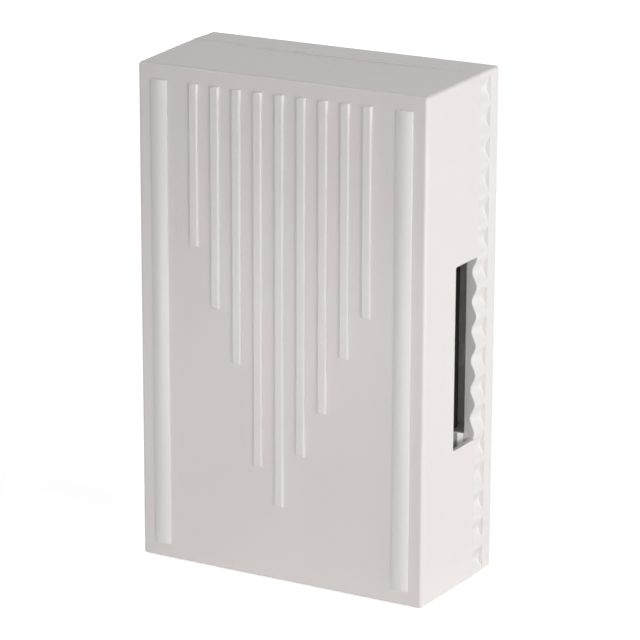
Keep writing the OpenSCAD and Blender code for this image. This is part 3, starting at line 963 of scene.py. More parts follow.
@dataclass(frozen=True)
class WoundTape(Finish):
    """Amber film over a winding whose turns press through.

    Attributes:
        turn_pitch: Distance between turns in metres.
        turn_sway: How far a turn strays, in pitches.
        copper: Colour that shines through on the turns.
        worn: Colour of the wrinkles.
        film: Weight of the gloss film.
        film_rough: Roughness of the film.
    """

    bump_strength: float = 0.45
    bump_height: float = 0.00005
    turn_pitch: float = 0.00036
    turn_sway: float = 1.5
    copper: Colour = (0.62, 0.27, 0.09)
    worn: Colour = (0.80, 0.52, 0.20)
    film: float = 0.6
    film_rough: float = 0.18
    sway_cells: float = 120.0
    wrinkle_cells: float = 260.0
    wrinkle_stretch: Point = (0.25, 1.0, 1.0)

    def dress(self, graph: Graph, shader: bpy.types.Node) -> None:
        """Draw the turns across the coil as colour, gloss and height."""
        place = graph.place()
        axes = graph.add("ShaderNodeSeparateXYZ", Vector=place)
        sway = graph.math("MULTIPLY", graph.noise(place, self.sway_cells), self.turn_pitch * self.turn_sway)
        along = graph.math("ADD", axes.outputs[0], sway)
        phase = graph.math("MULTIPLY", along, 2 * math.pi / self.turn_pitch)
        turns = graph.scale(graph.math("SINE", phase), -1.0, 1.0)
        wrinkle = graph.noise(graph.stretch(place, self.wrinkle_stretch), self.wrinkle_cells, 4.0, 0.6)
        deep = graph.blend(graph.scale(turns, 0.2, 0.9, 0.15, 0.75), self.colour, self.copper)
        worn = graph.blend(graph.scale(wrinkle, 0.5, 0.75, 0.0, 0.35), deep, self.worn)
        shader.inputs["Coat Weight"].default_value = self.film
        shader.inputs["Coat Roughness"].default_value = self.film_rough
        height = graph.math("MULTIPLY_ADD", wrinkle, 0.8, turns)
        self.lay(graph, shader, worn, self.gloss(graph, wrinkle, 0.3, 0.7), height)


@dataclass(frozen=True)
class FilledResin(Finish):
    """Brown moulded resin with pale filler specks.

    Attributes:
        marble: Colour of the flow marks.
        speck: Colour of the filler.
    """

    swing: Pair = (-0.06, 0.08)
    bump_strength: float = 0.3
    marble: Colour = (0.105, 0.045, 0.022)
    speck: Colour = (0.30, 0.19, 0.11)
    grain_cells: float = 2400.0
    marble_cells: float = 420.0
    marble_stretch: Point = (0.4, 1.0, 1.0)
    speck_cells: float = 2100.0

    def dress(self, graph: Graph, shader: bpy.types.Node) -> None:
        """Speckle the resin and marble it along the flow."""
        place = graph.place()
        grain = self.use(graph, Effects.grain(), place, self.grain_cells).outputs
        flow = graph.noise(graph.stretch(place, self.marble_stretch), self.marble_cells, 4.0, 0.6)
        marbled = graph.blend(graph.scale(flow, 0.4, 0.7, 0.0, 0.7), self.colour, self.marble)
        specks = graph.scale(graph.noise(place, self.speck_cells, 1.0), 0.68, 0.76, 0.0, 0.5)
        specked = graph.blend(specks, marbled, self.speck)
        self.lay(graph, shader, specked, self.gloss(graph, grain["Fleck"]), grain["Height"])


@dataclass(frozen=True)
class SoftSleeve(Finish):
    """Extruded wire insulation with a soft gloss.

    Attributes:
        fading: How much the faded patches gain, as a factor and as plain white.
    """

    swing: Pair = (-0.08, 0.1)
    bump_strength: float = 0.15
    fading: Pair = (1.25, 0.03)
    fade_cells: float = 130.0
    scuff_cells: float = 1400.0
    scuff_stretch: Point = (1.0, 1.0, 0.1)

    def dress(self, graph: Graph, shader: bpy.types.Node) -> None:
        """Fade the colour in patches and scuff the gloss."""
        place = graph.place()
        fade = graph.scale(graph.noise(place, self.fade_cells, 3.0), 0.35, 0.7, 0.0, 0.35)
        scuff = graph.noise(graph.stretch(place, self.scuff_stretch), self.scuff_cells, 3.0, 0.6)
        gain, white = self.fading
        pale = tuple(min(1.0, c * gain + white) for c in self.colour)
        faded = graph.blend(fade, self.colour, pale)
        self.lay(graph, shader, faded, self.gloss(graph, scuff, 0.3, 0.7), scuff)


class Finishes:
    """Every finish of the chime, built once."""

    def __init__(self) -> None:
        """Build the materials."""
        warm_rib_painted_light, enamel, dull_brass = (0.85, 0.80, 0.76), (0.50, 0.19, 0.07), (0.46, 0.29, 0.10)
        along_strip, round_core = (0.05, 1.0, 1.0), (1.0, 0.2, 0.2)
        self.cover = MouldedPlastic("cover_white_plastic", (0.842, 0.794, 0.784), 0.30).build()
        # The ribs and bars are the same plastic as the cover; their lighter colour and lighter warm tint
        # are painted light for the extra light that the raised faces catch
        self.ribs = MouldedPlastic("rib_white_plastic_painted_light", (0.885, 0.85, 0.84), 0.27, warm=warm_rib_painted_light).build()
        self.tray = MouldedPlastic("tray_white_plastic", (0.86, 0.83, 0.82), 0.34).build()
        self.tone_steel = RolledSteel("tone_plate_steel", (0.098, 0.076, 0.066), 0.42).build()
        self.zinc = PlatedSteel("zinc_plate", (0.70, 0.71, 0.72), 0.30).build()
        self.yoke = PlatedSteel("yoke_strip", (0.58, 0.58, 0.55), 0.34, streak=along_strip).build()
        self.core = PlatedSteel("turned_core", (0.56, 0.56, 0.57), 0.26, streak=round_core).build()
        self.spring = PlatedSteel("spring_wire", (0.44, 0.44, 0.45), 0.28).build()
        self.rubber = SoftRubber("black_rubber", (0.022, 0.021, 0.020), 0.62).build()
        self.nylon = NaturalNylon("natural_nylon", (0.72, 0.67, 0.54), 0.36).build()
        self.tape = WoundTape("amber_coil_tape", (0.55, 0.30, 0.07), 0.34).build()
        self.copper = PlatedSteel("enamelled_copper", (0.62, 0.26, 0.10), 0.30, tint=enamel).build()
        self.resin = FilledResin("brown_resin", (0.060, 0.026, 0.014), 0.40).build()
        self.brass = PlatedSteel("terminal_brass", (0.66, 0.45, 0.16), 0.28, tint=dull_brass).build()
        self.red = SoftSleeve("red_sleeve", (0.36, 0.018, 0.014), 0.40).build()
        self.white = SoftSleeve("white_sleeve", (0.70, 0.69, 0.66), 0.40).build()


# Sub-assemblies


@dataclass(frozen=True)
class Case:
    """Sizes that several sub-assemblies share, in millimetres.

    Attributes:
        width: Width of the tray.
        height: Height of the tray.
        front: Y of the cover's front.
        rim: Y of the seam between cover and tray.
        axis: Y and Z of the striker's axis.
        corner: Radius of the upright corners.
        bar_proud: Height of the bars above the front.
        cover_wall: Thickness of the cover's sides.
        yoke_foot: Width of a foot of the yoke.
        pin_head: Diameter of a hanger pin's head.
    """

    width: float
    height: float
    front: float
    rim: float
    axis: Pair
    corner: float = 1.2
    bar_proud: float = 1.3
    cover_wall: float = 2.0
    yoke_foot: float = 10.0
    pin_head: float = 6.4

    @classmethod
    def from_frame(cls) -> "Case":
        """Read the sizes from the boxes of the tray, the cover and the core."""
        tray_low, tray_high = node_span("base_tray")
        cover_low, cover_high = node_span("front_cover")
        core_low, core_high = node_span("armature")
        return cls(
            width=tray_high.x - tray_low.x, height=tray_high.z - tray_low.z,
            front=round(cover_low.y + cls.bar_proud, 1), rim=cover_high.y,
            axis=((core_low.y + core_high.y) / 2, (core_low.z + core_high.z) / 2),
        )

    def foot_heights(self) -> Pair:
        """Heights of the yoke's two feet."""
        low, high = node_span("solenoid_yoke")
        return low.z + self.yoke_foot / 2, high.z - self.yoke_foot / 2


@dataclass
class FrontCover:
    """Tapered cover with ribs, bars and sound slots."""

    case: Case
    step: float = 0.05
    draft: float = 1.05
    edge_bow: float = 0.45
    bow_cuts: int = 11
    front_wall: float = 2.2
    fillet: float = 1.4
    inner_fillet: float = 0.8
    rim_round: float = 0.3
    seam_round: float = 0.08
    slot_height: float = 72.3
    slot_middle: float = -6.9
    slot_depth: float = 17.2
    slot_bite: float = 6.0
    slot_corner: float = 0.8
    rib_lengths: tuple[float, ...] = (63.0, 86.2, 106.9, 146.6, 161.4, 139.4, 121.1, 97.9, 80.8)
    rib_pitch: float = 9.25
    rib_width: float = 3.7
    rib_proud: float = 1.1
    rib_round: float = 0.65
    rib_margin: float = 7.0
    bar_x: float = 52.2
    bar_width: float = 6.8
    bar_crown: float = 0.78
    bar_edge: float = 0.5
    bar_end_round: float = 0.45
    bar_steps: int = 12
    root: float = 0.5

    def build(self, finishes: Finishes) -> None:
        """Build the shell, the ribs and the bars.

        Args:
            finishes: The finishes of the chime.
        """
        seat = Seat("cover", "cover_white", ("front_cover",))
        ribs = gather(self.rib(index) for index in range(len(self.rib_lengths)))
        bars = gather(self.bar(side) for side in Side)
        finish_piece(self.shell(), "cover_shell", seat, finishes.cover)
        # Ribs and bars take the rib finish, whose lighter colour is painted light
        finish_piece(ribs, "cover_ribs", seat, finishes.ribs)
        finish_piece(bars, "cover_bars", seat, finishes.ribs)

    def tapered(self, inset: float, front: float, back: float) -> BMesh:
        """Make a box that follows the taper of the cover.

        Args:
            inset: Distance inside the outer faces.
            front: Y of its front.
            back: Y of its back.

        Returns:
            The box, with no rounding.
        """
        half_w = self.case.width / 2 - self.step - inset
        half_h = self.case.height / 2 - self.step - inset
        bm = block((-half_w, front, -half_h), (half_w, back, half_h))
        slope = self.draft / (self.case.rim - self.case.front)
        for vert in bm.verts:
            shrink = slope * (self.case.rim - vert.co.y)
            vert.co.x -= math.copysign(shrink, vert.co.x)
            vert.co.z -= math.copysign(shrink, vert.co.z)
        return bm

    def shell(self) -> BMesh:
        """Make the hollow shell with its two sound slots.

        Returns:
            The shell with its edges rounded.
        """
        case = self.case
        outer = self.tapered(0.0, case.front, case.rim)
        round_over(outer, edges_along(outer, Axis.Y), case.corner, 8)
        round_over(outer, edges_in_plane(outer, Axis.Y, case.front), self.fillet, 6)
        inner_front = case.front + self.front_wall
        inner = self.tapered(case.cover_wall, inner_front, case.rim + OVERRUN)
        round_over(inner, edges_along(inner, Axis.Y), case.corner / 2, 4)
        round_over(inner, edges_in_plane(inner, Axis.Y, inner_front), self.inner_fillet, 3)
        shell = carve(outer, inner)
        for side in Side:
            shell = carve(shell, self.slot_tool(side))
        self.bow(shell)
        shell.normal_update()
        seam = set(self.seam_edges(shell))
        round_over(shell, [e for e in sharp_edges(shell) if e not in seam], self.rim_round, 3)
        round_over(shell, self.seam_edges(shell), self.seam_round, 2)
        return shell

    def bow(self, shell: BMesh) -> None:
        """Draw the middle of the top and bottom walls in towards the rim.

        Args:
            shell: The shell, which is cut across so that the walls can bend.
        """
        case = self.case
        half_w, inner_z = case.width / 2 - case.cover_wall, case.height / 2 - 2 * case.cover_wall
        for step in range(1, self.bow_cuts + 1):
            x = half_w * (2 * step / (self.bow_cuts + 1) - 1)
            geom = shell.verts[:] + shell.edges[:] + shell.faces[:]
            bmesh.ops.bisect_plane(shell, geom=geom, plane_co=(x, 0, 0), plane_no=(1, 0, 0))
        for vert in shell.verts:
            along = (vert.co.y - case.front) / (case.rim - case.front)
            if abs(vert.co.z) > inner_z and abs(vert.co.x) < half_w:
                share = (1 - (vert.co.x / half_w) ** 2) * along * along
                vert.co.z -= math.copysign(self.edge_bow * share, vert.co.z)

    def seam_edges(self, shell: BMesh) -> list[BMEdge]:
        """Find the outer edges of the rim, which meet the tray.

        Args:
            shell: The shell.

        Returns:
            The edges.
        """
        inset = self.step + self.case.cover_wall / 2
        limit_x, limit_z = self.case.width / 2 - inset, self.case.height / 2 - inset
        return [
            e for e in edges_in_plane(shell, Axis.Y, self.case.rim)
            if all(abs(v.co.x) > limit_x or abs(v.co.z) > limit_z for v in e.verts)
        ]

    def slot_tool(self, side: Side) -> BMesh:
        """Make the tool that cuts one sound slot.

        Args:
            side: Side of the case.

        Returns:
            The tool, with its front corners rounded.
        """
        case = self.case
        wall, half = case.width / 2, self.slot_height / 2
        tool = block(
            (wall - self.slot_bite, case.rim - self.slot_depth, self.slot_middle - half),
            (wall + OVERRUN, case.rim + OVERRUN, self.slot_middle + half),
        )
        front_corners = edges_along(tool, Axis.X, lambda middle: middle.y < case.rim)
        round_over(tool, front_corners, self.slot_corner, 4)
        return on_side(tool, side)

    def rib(self, index: int) -> BMesh:
        """Make one short rib.

        Args:
            index: Its place from the left.

        Returns:
            The rib, sunk a little into the front.
        """
        case = self.case
        x = (index - (len(self.rib_lengths) - 1) / 2) * self.rib_pitch
        top = case.height / 2 - self.rib_margin
        face = case.front - self.rib_proud
        bm = block(
            (x - self.rib_width / 2, face, top - self.rib_lengths[index]),
            (x + self.rib_width / 2, case.front + self.root, top),
        )
        round_over(bm, edges_in_plane(bm, Axis.Y, face), self.rib_round, 5)
        return bm

    def bar(self, side: Side) -> BMesh:
        """Make one long bar with its crown across.

        Args:
            side: Side of the case.

        Returns:
            The bar, sunk a little into the front.
        """
        case = self.case
        x = side.value * self.bar_x
        half_w, half_l = self.bar_width / 2, case.height / 2 - self.rib_margin
        face = case.front - self.bar_edge
        bm = block((x - half_w, face, -half_l), (x + half_w, case.front + self.root, half_l))
        across = edges_along(bm, Axis.X)
        bmesh.ops.subdivide_edges(bm, edges=across, cuts=self.bar_steps - 1, use_grid_fill=True)
        for vert in bm.verts:
            if abs(vert.co.y - face) < WELD:
                share = (vert.co.x - x) / half_w
                vert.co.y -= self.bar_crown * (1 - share * share)
        ends = [
            e for e in bm.edges
            if all(v.co.y < case.front - NEAR and abs(abs(v.co.z) - half_l) < WELD for v in e.verts)
            and abs(e.verts[0].co.x - e.verts[1].co.x) > WELD
        ]
        round_over(bm, ends, self.bar_end_round, 3)
        return bm


@dataclass
class BaseTray:
    """Fluted tray with the lugs, posts, bosses and tabs on its floor."""

    case: Case
    floor: float = 2.2
    end_wall: float = 2.2
    side_wall: float = 4.9
    lip: float = 6.9
    flute_pitch: float = 11.68
    flute_ridge: float = -29.4
    flute_depth: float = 1.93
    flute_plain: float = 0.5
    flute_steps: int = 20
    edge_round: float = 0.3
    rim_round: float = 0.5
    sharp_deg: float = 60.0
    smooth_deg: float = 44.0
    weld: float = 1e-3
    root: float = 0.3
    small_round: float = 0.25
    boss_round: float = 0.3
    wall_hole: float = 5.0
    wall_hole_down: float = 12.0
    wall_hole_pitch: float = 124.0
    wall_ring: float = 3.5
    wall_ring_height: float = 1.5
    hole_reach: float = 6.0
    hole_ease: float = 0.4
    ease_over: float = 0.2
    cable_up: float = 14.0
    cable_floor: float = 4.2
    cable_hole: float = 12.1
    cable_recess: float = 16.1
    cable_recess_depth: float = 1.5
    cable_boss: float = 20.0
    lug_thick: float = 5.0
    lug_width: float = 9.0
    lug_gap: float = 0.8
    gusset: float = 9.0
    gusset_thick: float = 2.0
    gusset_down: float = 2.6
    gusset_toe: float = 1.0
    pin_hole: float = 2.7
    post_height: float = 19.8
    post_past: float = 0.5
    post_thick: float = 5.0
    post_round: float = 0.35
    post_gap: float = 0.3
    post_clear: float = 0.03
    fence_gap: float = 0.6
    fence_rise: float = 1.5
    fence_root: float = 1.0
    fence_toe: float = 0.15
    foot_flare: float = 0.6
    foot_waist: float = 0.15
    foot_flare_height: float = 1.2
    pad_margin: float = 1.0
    pad_corner: float = 1.0
    tab_x: float = 36.0
    tab_width: float = 14.0
    tab_thick: float = 2.2
    tab_reach: float = 6.0
    tab_gap: float = 0.3
    tab_root: float = 0.2
    tab_lead: float = 0.7
    tab_shoulder: float = 0.3
    cover_step: float = 0.3

    def build(self, finishes: Finishes) -> None:
        """Build the tray and its fittings.

        Args:
            finishes: The finishes of the chime.
        """
        seat = Seat("base", "base_white", ("base_tray",))
        finish_piece(self.shell(), "tray_shell", seat, finishes.tray, smooth_deg=self.smooth_deg)
        finish_piece(gather(self.fittings()), "tray_fittings", seat, finishes.tray)

    @property
    def sunk(self) -> float:
        """Plane in the floor that the fittings start from."""
        return self.root - self.floor

    def wall_hole_heights(self) -> Pair:
        """Heights of the two holes for wall screws."""
        top = self.case.height / 2 - self.wall_hole_down
        return top, top - self.wall_hole_pitch

    def cable_height(self) -> float:
        """Height of the cable entry."""
        return self.cable_up - self.case.height / 2

    def wave(self, z: float) -> float:
        """Depth of the flute at a height, which is none above the highest ridge.

        Args:
            z: The height.

        Returns:
            The depth.
        """
        room = self.case.height / 2 - self.flute_plain - self.flute_ridge
        if z > self.flute_ridge + math.floor(room / self.flute_pitch) * self.flute_pitch:
            return 0.0
        turn = 2 * math.pi * (z - self.flute_ridge) / self.flute_pitch
        return self.flute_depth * (1 - math.cos(turn)) / 2

    def shell(self) -> BMesh:
        """Make the tray as one outline drawn forward, in and back down.

        Returns:
            The tray with its holes.
        """
        case = self.case
        bm = bmesh.new()
        bmesh.ops.create_grid(bm, x_segments=1, y_segments=1, size=0.5)
        bmesh.ops.scale(bm, vec=(case.width, case.height, 1), verts=bm.verts)
        bmesh.ops.rotate(bm, matrix=Matrix.Rotation(math.pi / 2, 3, "X"), verts=bm.verts)
        bmesh.ops.bevel(
            bm, geom=list(bm.verts), offset=case.corner, offset_type="OFFSET", segments=8,
            profile=0.5, affect="VERTICES", clamp_overlap=True, material=-1,
        )
        cuts = round(case.height / self.flute_pitch * self.flute_steps)
        for edge in [e for e in edges_along(bm, Axis.Z) if e.calc_length() > case.height / 2]:
            bmesh.ops.subdivide_edges(bm, edges=[edge], cuts=cuts)
        face = bm.faces[:][0]
        back = list(face.verts)
        face = self.draw(bm, face, -self.lip)
        bm.faces.new(back)
        face = self.draw(bm, face, -self.lip)
        for vert in face.verts:
            vert.co.x = held(vert.co.x, case.width / 2 - self.wave(vert.co.z))
        face = self.draw(bm, face, case.rim)
        face = self.draw(bm, face, case.rim)
        # Doubling carries the fluted points past the wall, so that holding them there makes it flat
        for vert in face.verts:
            vert.co.x = held(vert.co.x * 2, case.width / 2 - self.side_wall)
            vert.co.z = held(vert.co.z, case.height / 2 - self.end_wall)
        self.draw(bm, face, -self.floor)
        bmesh.ops.remove_doubles(bm, verts=bm.verts, dist=self.weld)
        bmesh.ops.dissolve_degenerate(bm, dist=self.weld, edges=bm.edges)
        bmesh.ops.recalc_face_normals(bm, faces=bm.faces)
        bm.normal_update()
        for y, radius, segments in ((0.0, self.edge_round, 3), (case.rim, self.rim_round, 4)):
            sharp = set(sharp_edges(bm, self.sharp_deg))
            round_over(bm, [e for e in edges_in_plane(bm, Axis.Y, y) if e in sharp], radius, segments)
        for vert in bm.verts:
            vert.co.x = held(vert.co.x, case.width / 2)
            vert.co.z = held(vert.co.z, case.height / 2)
        for tool in self.hole_tools():
            bm = carve(bm, tool)
        return bm

    def draw(self, bm: BMesh, face: BMFace, y: float) -> BMFace:
        """Draw a face forward or back to a plane.

        Args:
            bm: The tray.
            face: The face to draw.
            y: Plane that it ends on.

        Returns:
            The face at its new place.
        """
        moved = bmesh.ops.extrude_discrete_faces(bm, faces=[face])["faces"][0]
        for vert in moved.verts:
            vert.co.y = y
        return moved

    def hole_tools(self) -> list[BMesh]:
        """Make the tools for the wall holes, with eased edges, and for the cable entry.

        Returns:
            The three tools.
        """
        deep, ease, over = -self.hole_reach, self.hole_ease, self.ease_over
        r = self.wall_hole / 2
        wall = [(0, deep), (r, deep), (r, -ease), (r + ease + over, over), (0, over)]
        narrow, wide, step = self.cable_hole / 2, self.cable_recess / 2, -self.cable_recess_depth
        cable = [(0, deep), (narrow, deep), (narrow, step), (wide, step), (wide, OVERRUN), (0, OVERRUN)]
        tools = [lathe(wall, (0, z), Axis.Y) for z in self.wall_hole_heights()]
        return tools + [lathe(cable, (0, self.cable_height()), Axis.Y)]

    def fittings(self) -> list[BMesh]:
        """Make everything that stands on the floor.

        Returns:
            The solids.
        """
        parts = []
        for side in Side:
            low, high = node_span("tone_plate_" + side.name.lower())
            pins = node_span("hanger_pins_" + side.name.lower())
            pitch = pins[1].z - pins[0].z - self.case.pin_head
            middle = (low + high) / 2
            parts += [self.lug(side, middle.y, middle.z + half) for half in (-pitch / 2, pitch / 2)]
            parts.append(self.post(side, low))
        parts += [self.foot_boss(z) for z in self.case.foot_heights()]
        ring, face = self.wall_hole + 2 * self.wall_ring, -self.floor - self.wall_ring_height
        parts += [self.ring_boss(self.wall_hole, ring, face, z) for z in self.wall_hole_heights()]
        cable_z = self.cable_height()
        parts.append(self.ring_boss(self.cable_hole, self.cable_boss, -self.cable_floor, cable_z))
        low, high = node_span("terminal_block")
        gap = self.pad_margin
        pad = block((low.x - gap, high.y, low.z - gap), (high.x + gap, self.sunk, high.z + gap))
        round_over(pad, edges_along(pad, Axis.Y), self.pad_corner, 4)
        parts.append(soften(pad, self.small_round))
        return parts + [self.tab(side, end) for side in Side for end in End]

    def foot_boss(self, z: float) -> BMesh:
        """Make the flared boss under one foot of the yoke.

        Args:
            z: Its height.

        Returns:
            The boss.
        """
        r, face = self.case.yoke_foot / 2, node_span("solenoid_yoke")[1].y
        profile = [
            (0, self.sunk), (r + self.foot_flare, self.sunk),
            (r + self.foot_waist, self.sunk - self.foot_flare_height), (r, face), (0, face),
        ]
        return soften(lathe(profile, (0, z), Axis.Y), self.small_round)

    def ring_boss(self, bore: float, outer: float, face: float, z: float) -> BMesh:
        """Make a round boss with a hole.

        Args:
            bore: Diameter of the hole.
            outer: Diameter of the boss.
            face: Y of its face.
            z: Its height.

        Returns:
            The boss.
        """
        ring = sleeve((bore / 2, outer / 2), (self.sunk, face), (0, z), Axis.Y)
        return soften(ring, self.boss_round)

    def lug(self, side: Side, axis_y: float, z: float) -> BMesh:
        """Make one hanger lug with its gusset.

        Args:
            side: Side of the case.
            axis_y: Y of the pin.
            z: Height of the pin.

        Returns:
            The lug with its pin hole.
        """
        outer = node_span("tone_plate_right")[0].x - self.lug_gap
        inner, half = outer - self.lug_thick, self.lug_width / 2
        front = axis_y - half
        lug = block((inner, front, z - half), (outer, self.sunk, z + half))
        front_corners = edges_along(lug, Axis.X, lambda middle: abs(middle.y - front) < NEAR)
        round_over(lug, front_corners, half * FULL_ROUND, 10)
        hole = plug(self.pin_hole / 2, (inner - OVERRUN, outer + OVERRUN), (axis_y, z), Axis.X, steps=24)
        lug = soften(carve(lug, hole), self.boss_round)
        thick = self.gusset_thick / 2
        web = block(
            (inner - self.gusset, axis_y + self.gusset_down, z - thick),
            (inner + self.root, self.sunk, z + thick),
        )
        for vert in web.verts:
            if vert.co.x < inner - NEAR and vert.co.y < self.sunk - NEAR:
                vert.co.y = -self.floor - self.gusset_toe
        return on_side(gather((lug, soften(web, self.small_round))), side)

    def post(self, side: Side, low: Vector) -> BMesh:
        """Make the stop post under the end of a plate, with a sloped fence beside it.

        Args:
            side: Side of the case.
            low: Lowest corner of the plate.

        Returns:
            The post.
        """
        rim = self.case.rim
        wall = self.case.width / 2 - self.side_wall - self.post_clear
        top = low.z - self.post_gap
        plate_low, plate_high = node_span("tone_plate_right")
        post = block(
            (plate_low.x - self.post_past, -self.post_height, top - self.post_thick), (wall, self.sunk, top)
        )
        fence = block(
            (plate_high.x + self.fence_gap, -self.post_height, top - self.fence_root),
            (wall, rim, top + self.fence_rise),
        )
        for vert in fence.verts:
            if vert.co.z > top and vert.co.y > rim - NEAR:
                vert.co.z = top - self.fence_toe
        return on_side(soften(joined(post, fence), self.post_round, 3), side)

    def tab(self, side: Side, end: End) -> BMesh:
        """Make one locating tab for the cover.

        Args:
            side: Side of the case.
            end: End of the case.

        Returns:
            The tab with its thicker root.
        """
        case = self.case
        left = side.value * self.tab_x - self.tab_width / 2
        right = left + self.tab_width
        outer = case.height / 2 - self.cover_step - case.cover_wall - self.tab_gap
        inner = outer - self.tab_thick
        foot = self.tab_root - self.floor
        wall = case.height / 2 - self.end_wall + self.tab_root
        blade = block((left, case.rim - self.tab_reach, inner), (right, foot, outer))
        lead_in = edges_along(blade, Axis.X, lambda middle: middle.y < case.rim)
        round_over(blade, lead_in, self.tab_lead, 3)
        root = block((left, case.rim + self.tab_shoulder, inner), (right, foot, wall))
        tab = soften(joined(blade, root), self.small_round)
        return tab if end is End.TOP else mirrored(tab, Axis.Z)


@dataclass
class TonePlates:
    """Two steel plates with their rubber bushes and pins."""

    case: Case
    corner: float = 2.0
    edge: float = 0.25
    hole: float = 6.1
    neck: float = 6.0
    flange: float = 9.0
    flange_thick: float = 0.8
    bush_bore: float = 2.7
    bush_round: float = 0.22
    pin: float = 2.6
    pin_chamfer: float = 0.2
    head_thick: float = 1.0
    head_edge: float = 0.3
    head_steps: int = 5

    def build(self, finishes: Finishes) -> None:
        """Build both sides.

        Args:
            finishes: The finishes of the chime.
        """
        for side in Side:
            word = side.name.lower()
            plate, bushes, pins = ("tone_plate_" + word, "plate_grommets_" + word, "hanger_pins_" + word)
            low, high = node_span("tone_plate_right")
            own_low, own_high = node_span(plate)
            low.z, high.z = own_low.z, own_high.z
            bush_low, bush_high = node_span(bushes)
            heights = (bush_low.z + self.flange / 2, bush_high.z - self.flange / 2)
            sheet = on_side(self.plate(low, high, heights), side)
            soft = on_side(gather(self.bush(low, high, z) for z in heights), side)
            turned = on_side(gather(self.headed_pin(low, high, z) for z in heights), side)
            fix_to_base((
                (sheet, plate + "_sheet", "tone_steel", plate, finishes.tone_steel),
                (soft, bushes + "_soft", "black_rubber", bushes, finishes.rubber),
                (turned, pins + "_turned", "zinc_steel", pins, finishes.zinc),
            ))

    def plate(self, low: Vector, high: Vector, heights: Sequence[float]) -> BMesh:
        """Make one plate with its two holes.

        Args:
            low: Lowest corner.
            high: Highest corner.
            heights: Heights of the holes.

        Returns:
            The plate.
        """
        bm = block(low, high)
        round_over(bm, edges_along(bm, Axis.X), self.corner, 6)
        span, middle = (low.x - OVERRUN, high.x + OVERRUN), (low.y + high.y) / 2
        for z in heights:
            bm = carve(bm, plug(self.hole / 2, span, (middle, z), Axis.X))
        return soften(bm, self.edge)

    def bush(self, low: Vector, high: Vector, z: float) -> BMesh:
        """Make one rubber bush round a pin.

        Args:
            low: Lowest corner of the plate.
            high: Highest corner of the plate.
            z: Height of the bush.

        Returns:
            The bush.
        """
        radii = (self.bush_bore / 2, self.neck / 2, self.flange / 2)
        span = (low.x - self.flange_thick, high.x + self.flange_thick)
        bush = flanged_bush(radii, self.flange_thick, span, ((low.y + high.y) / 2, z), Axis.X)
        return soften(bush, self.bush_round, 3)

    def headed_pin(self, low: Vector, high: Vector, z: float) -> BMesh:
        """Make one pin with a domed head.

        Args:
            low: Lowest corner of the plate.
            high: Highest corner of the plate.
            z: Height of the pin.

        Returns:
            The pin.
        """
        inner = node_span("hanger_pins_right")[0].x
        r, rim, ease = self.pin / 2, self.case.pin_head / 2, self.pin_chamfer
        seat = high.x + self.flange_thick
        edge = seat + self.head_edge
        profile = [(0, inner), (r - ease, inner), (r, inner + ease), (r, seat), (rim, seat), (rim, edge)]
        profile += dome(rim, edge, seat + self.head_thick, self.head_steps)
        return lathe(profile, ((low.y + high.y) / 2, z), Axis.X)


@dataclass(frozen=True)
class ScrewSpec:
    """A slotted pan head screw that points into the wall.

    Attributes:
        shank: Diameter of the shank.
        head: Diameter of the head.
        head_thick: Height of the head.
        length: Length below the head.
        pitch: Pitch of the thread.
        slot: Width of the slot.
        thread_depth: Depth of the thread.
        point: Length of the point.
        plain: Length of the point and of the stretch with no thread.
        relief: How much the stretch under the head is thinner than the thread, in radius.
        collar: Length of that stretch.
        head_edge: Height of the straight edge of the head.
        head_ease: Chamfer under that edge.
        head_bulge: Fullness of the head's dome.
        head_steps: Steps in the dome.
        turn_steps: Steps in a full turn.
    """

    shank: float
    head: float
    head_thick: float
    length: float
    pitch: float = 1.0
    slot: float = 0.9
    thread_depth: float = 0.3
    point: float = 0.4
    plain: float = 1.2
    relief: float = 0.05
    collar: float = 0.2
    head_edge: float = 0.15
    head_ease: float = 0.1
    head_bulge: float = 0.7
    head_steps: int = 7
    turn_steps: int = 32

    def make(self, x: float, y: float, z: float, turn_deg: float) -> BMesh:
        """Make the screw.

        Args:
            x: X of its axis.
            y: Plane under its head.
            z: Z of its axis.
            turn_deg: Turn of its slot.

        Returns:
            The screw with its slot.
        """
        r, rim = self.shank / 2, self.head / 2
        core, neck = r - self.thread_depth, r - self.relief
        tip, edge, top = y + self.length, y - self.head_edge, y - self.head_thick
        profile: list[Pair] = [(0, tip)]
        for k in range(int((self.length - self.plain) / self.pitch)):
            start = tip - self.point - k * self.pitch
            profile += [(core, start), (r, start - self.pitch / 2)]
        profile += [(neck, y + self.collar), (neck, y), (rim - self.head_ease, y), (rim, edge)]
        profile += dome(rim, edge, top, self.head_steps, self.head_bulge)
        screw = lathe(profile, (x, z), Axis.Y, steps=self.turn_steps)
        reach, half = rim + OVERRUN, self.slot / 2
        tool = block((-reach, top - OVERRUN, -half), (reach, y - self.head_thick / 2, half))
        bmesh.ops.rotate(tool, matrix=Matrix.Rotation(math.radians(turn_deg), 3, "Y"), verts=tool.verts)
        bmesh.ops.translate(tool, vec=(x, 0, z), verts=tool.verts)
        return carve(screw, tool)


FIXING_SCREW = ScrewSpec(shank=2.9, head=5.6, head_thick=2.1, length=9.0)


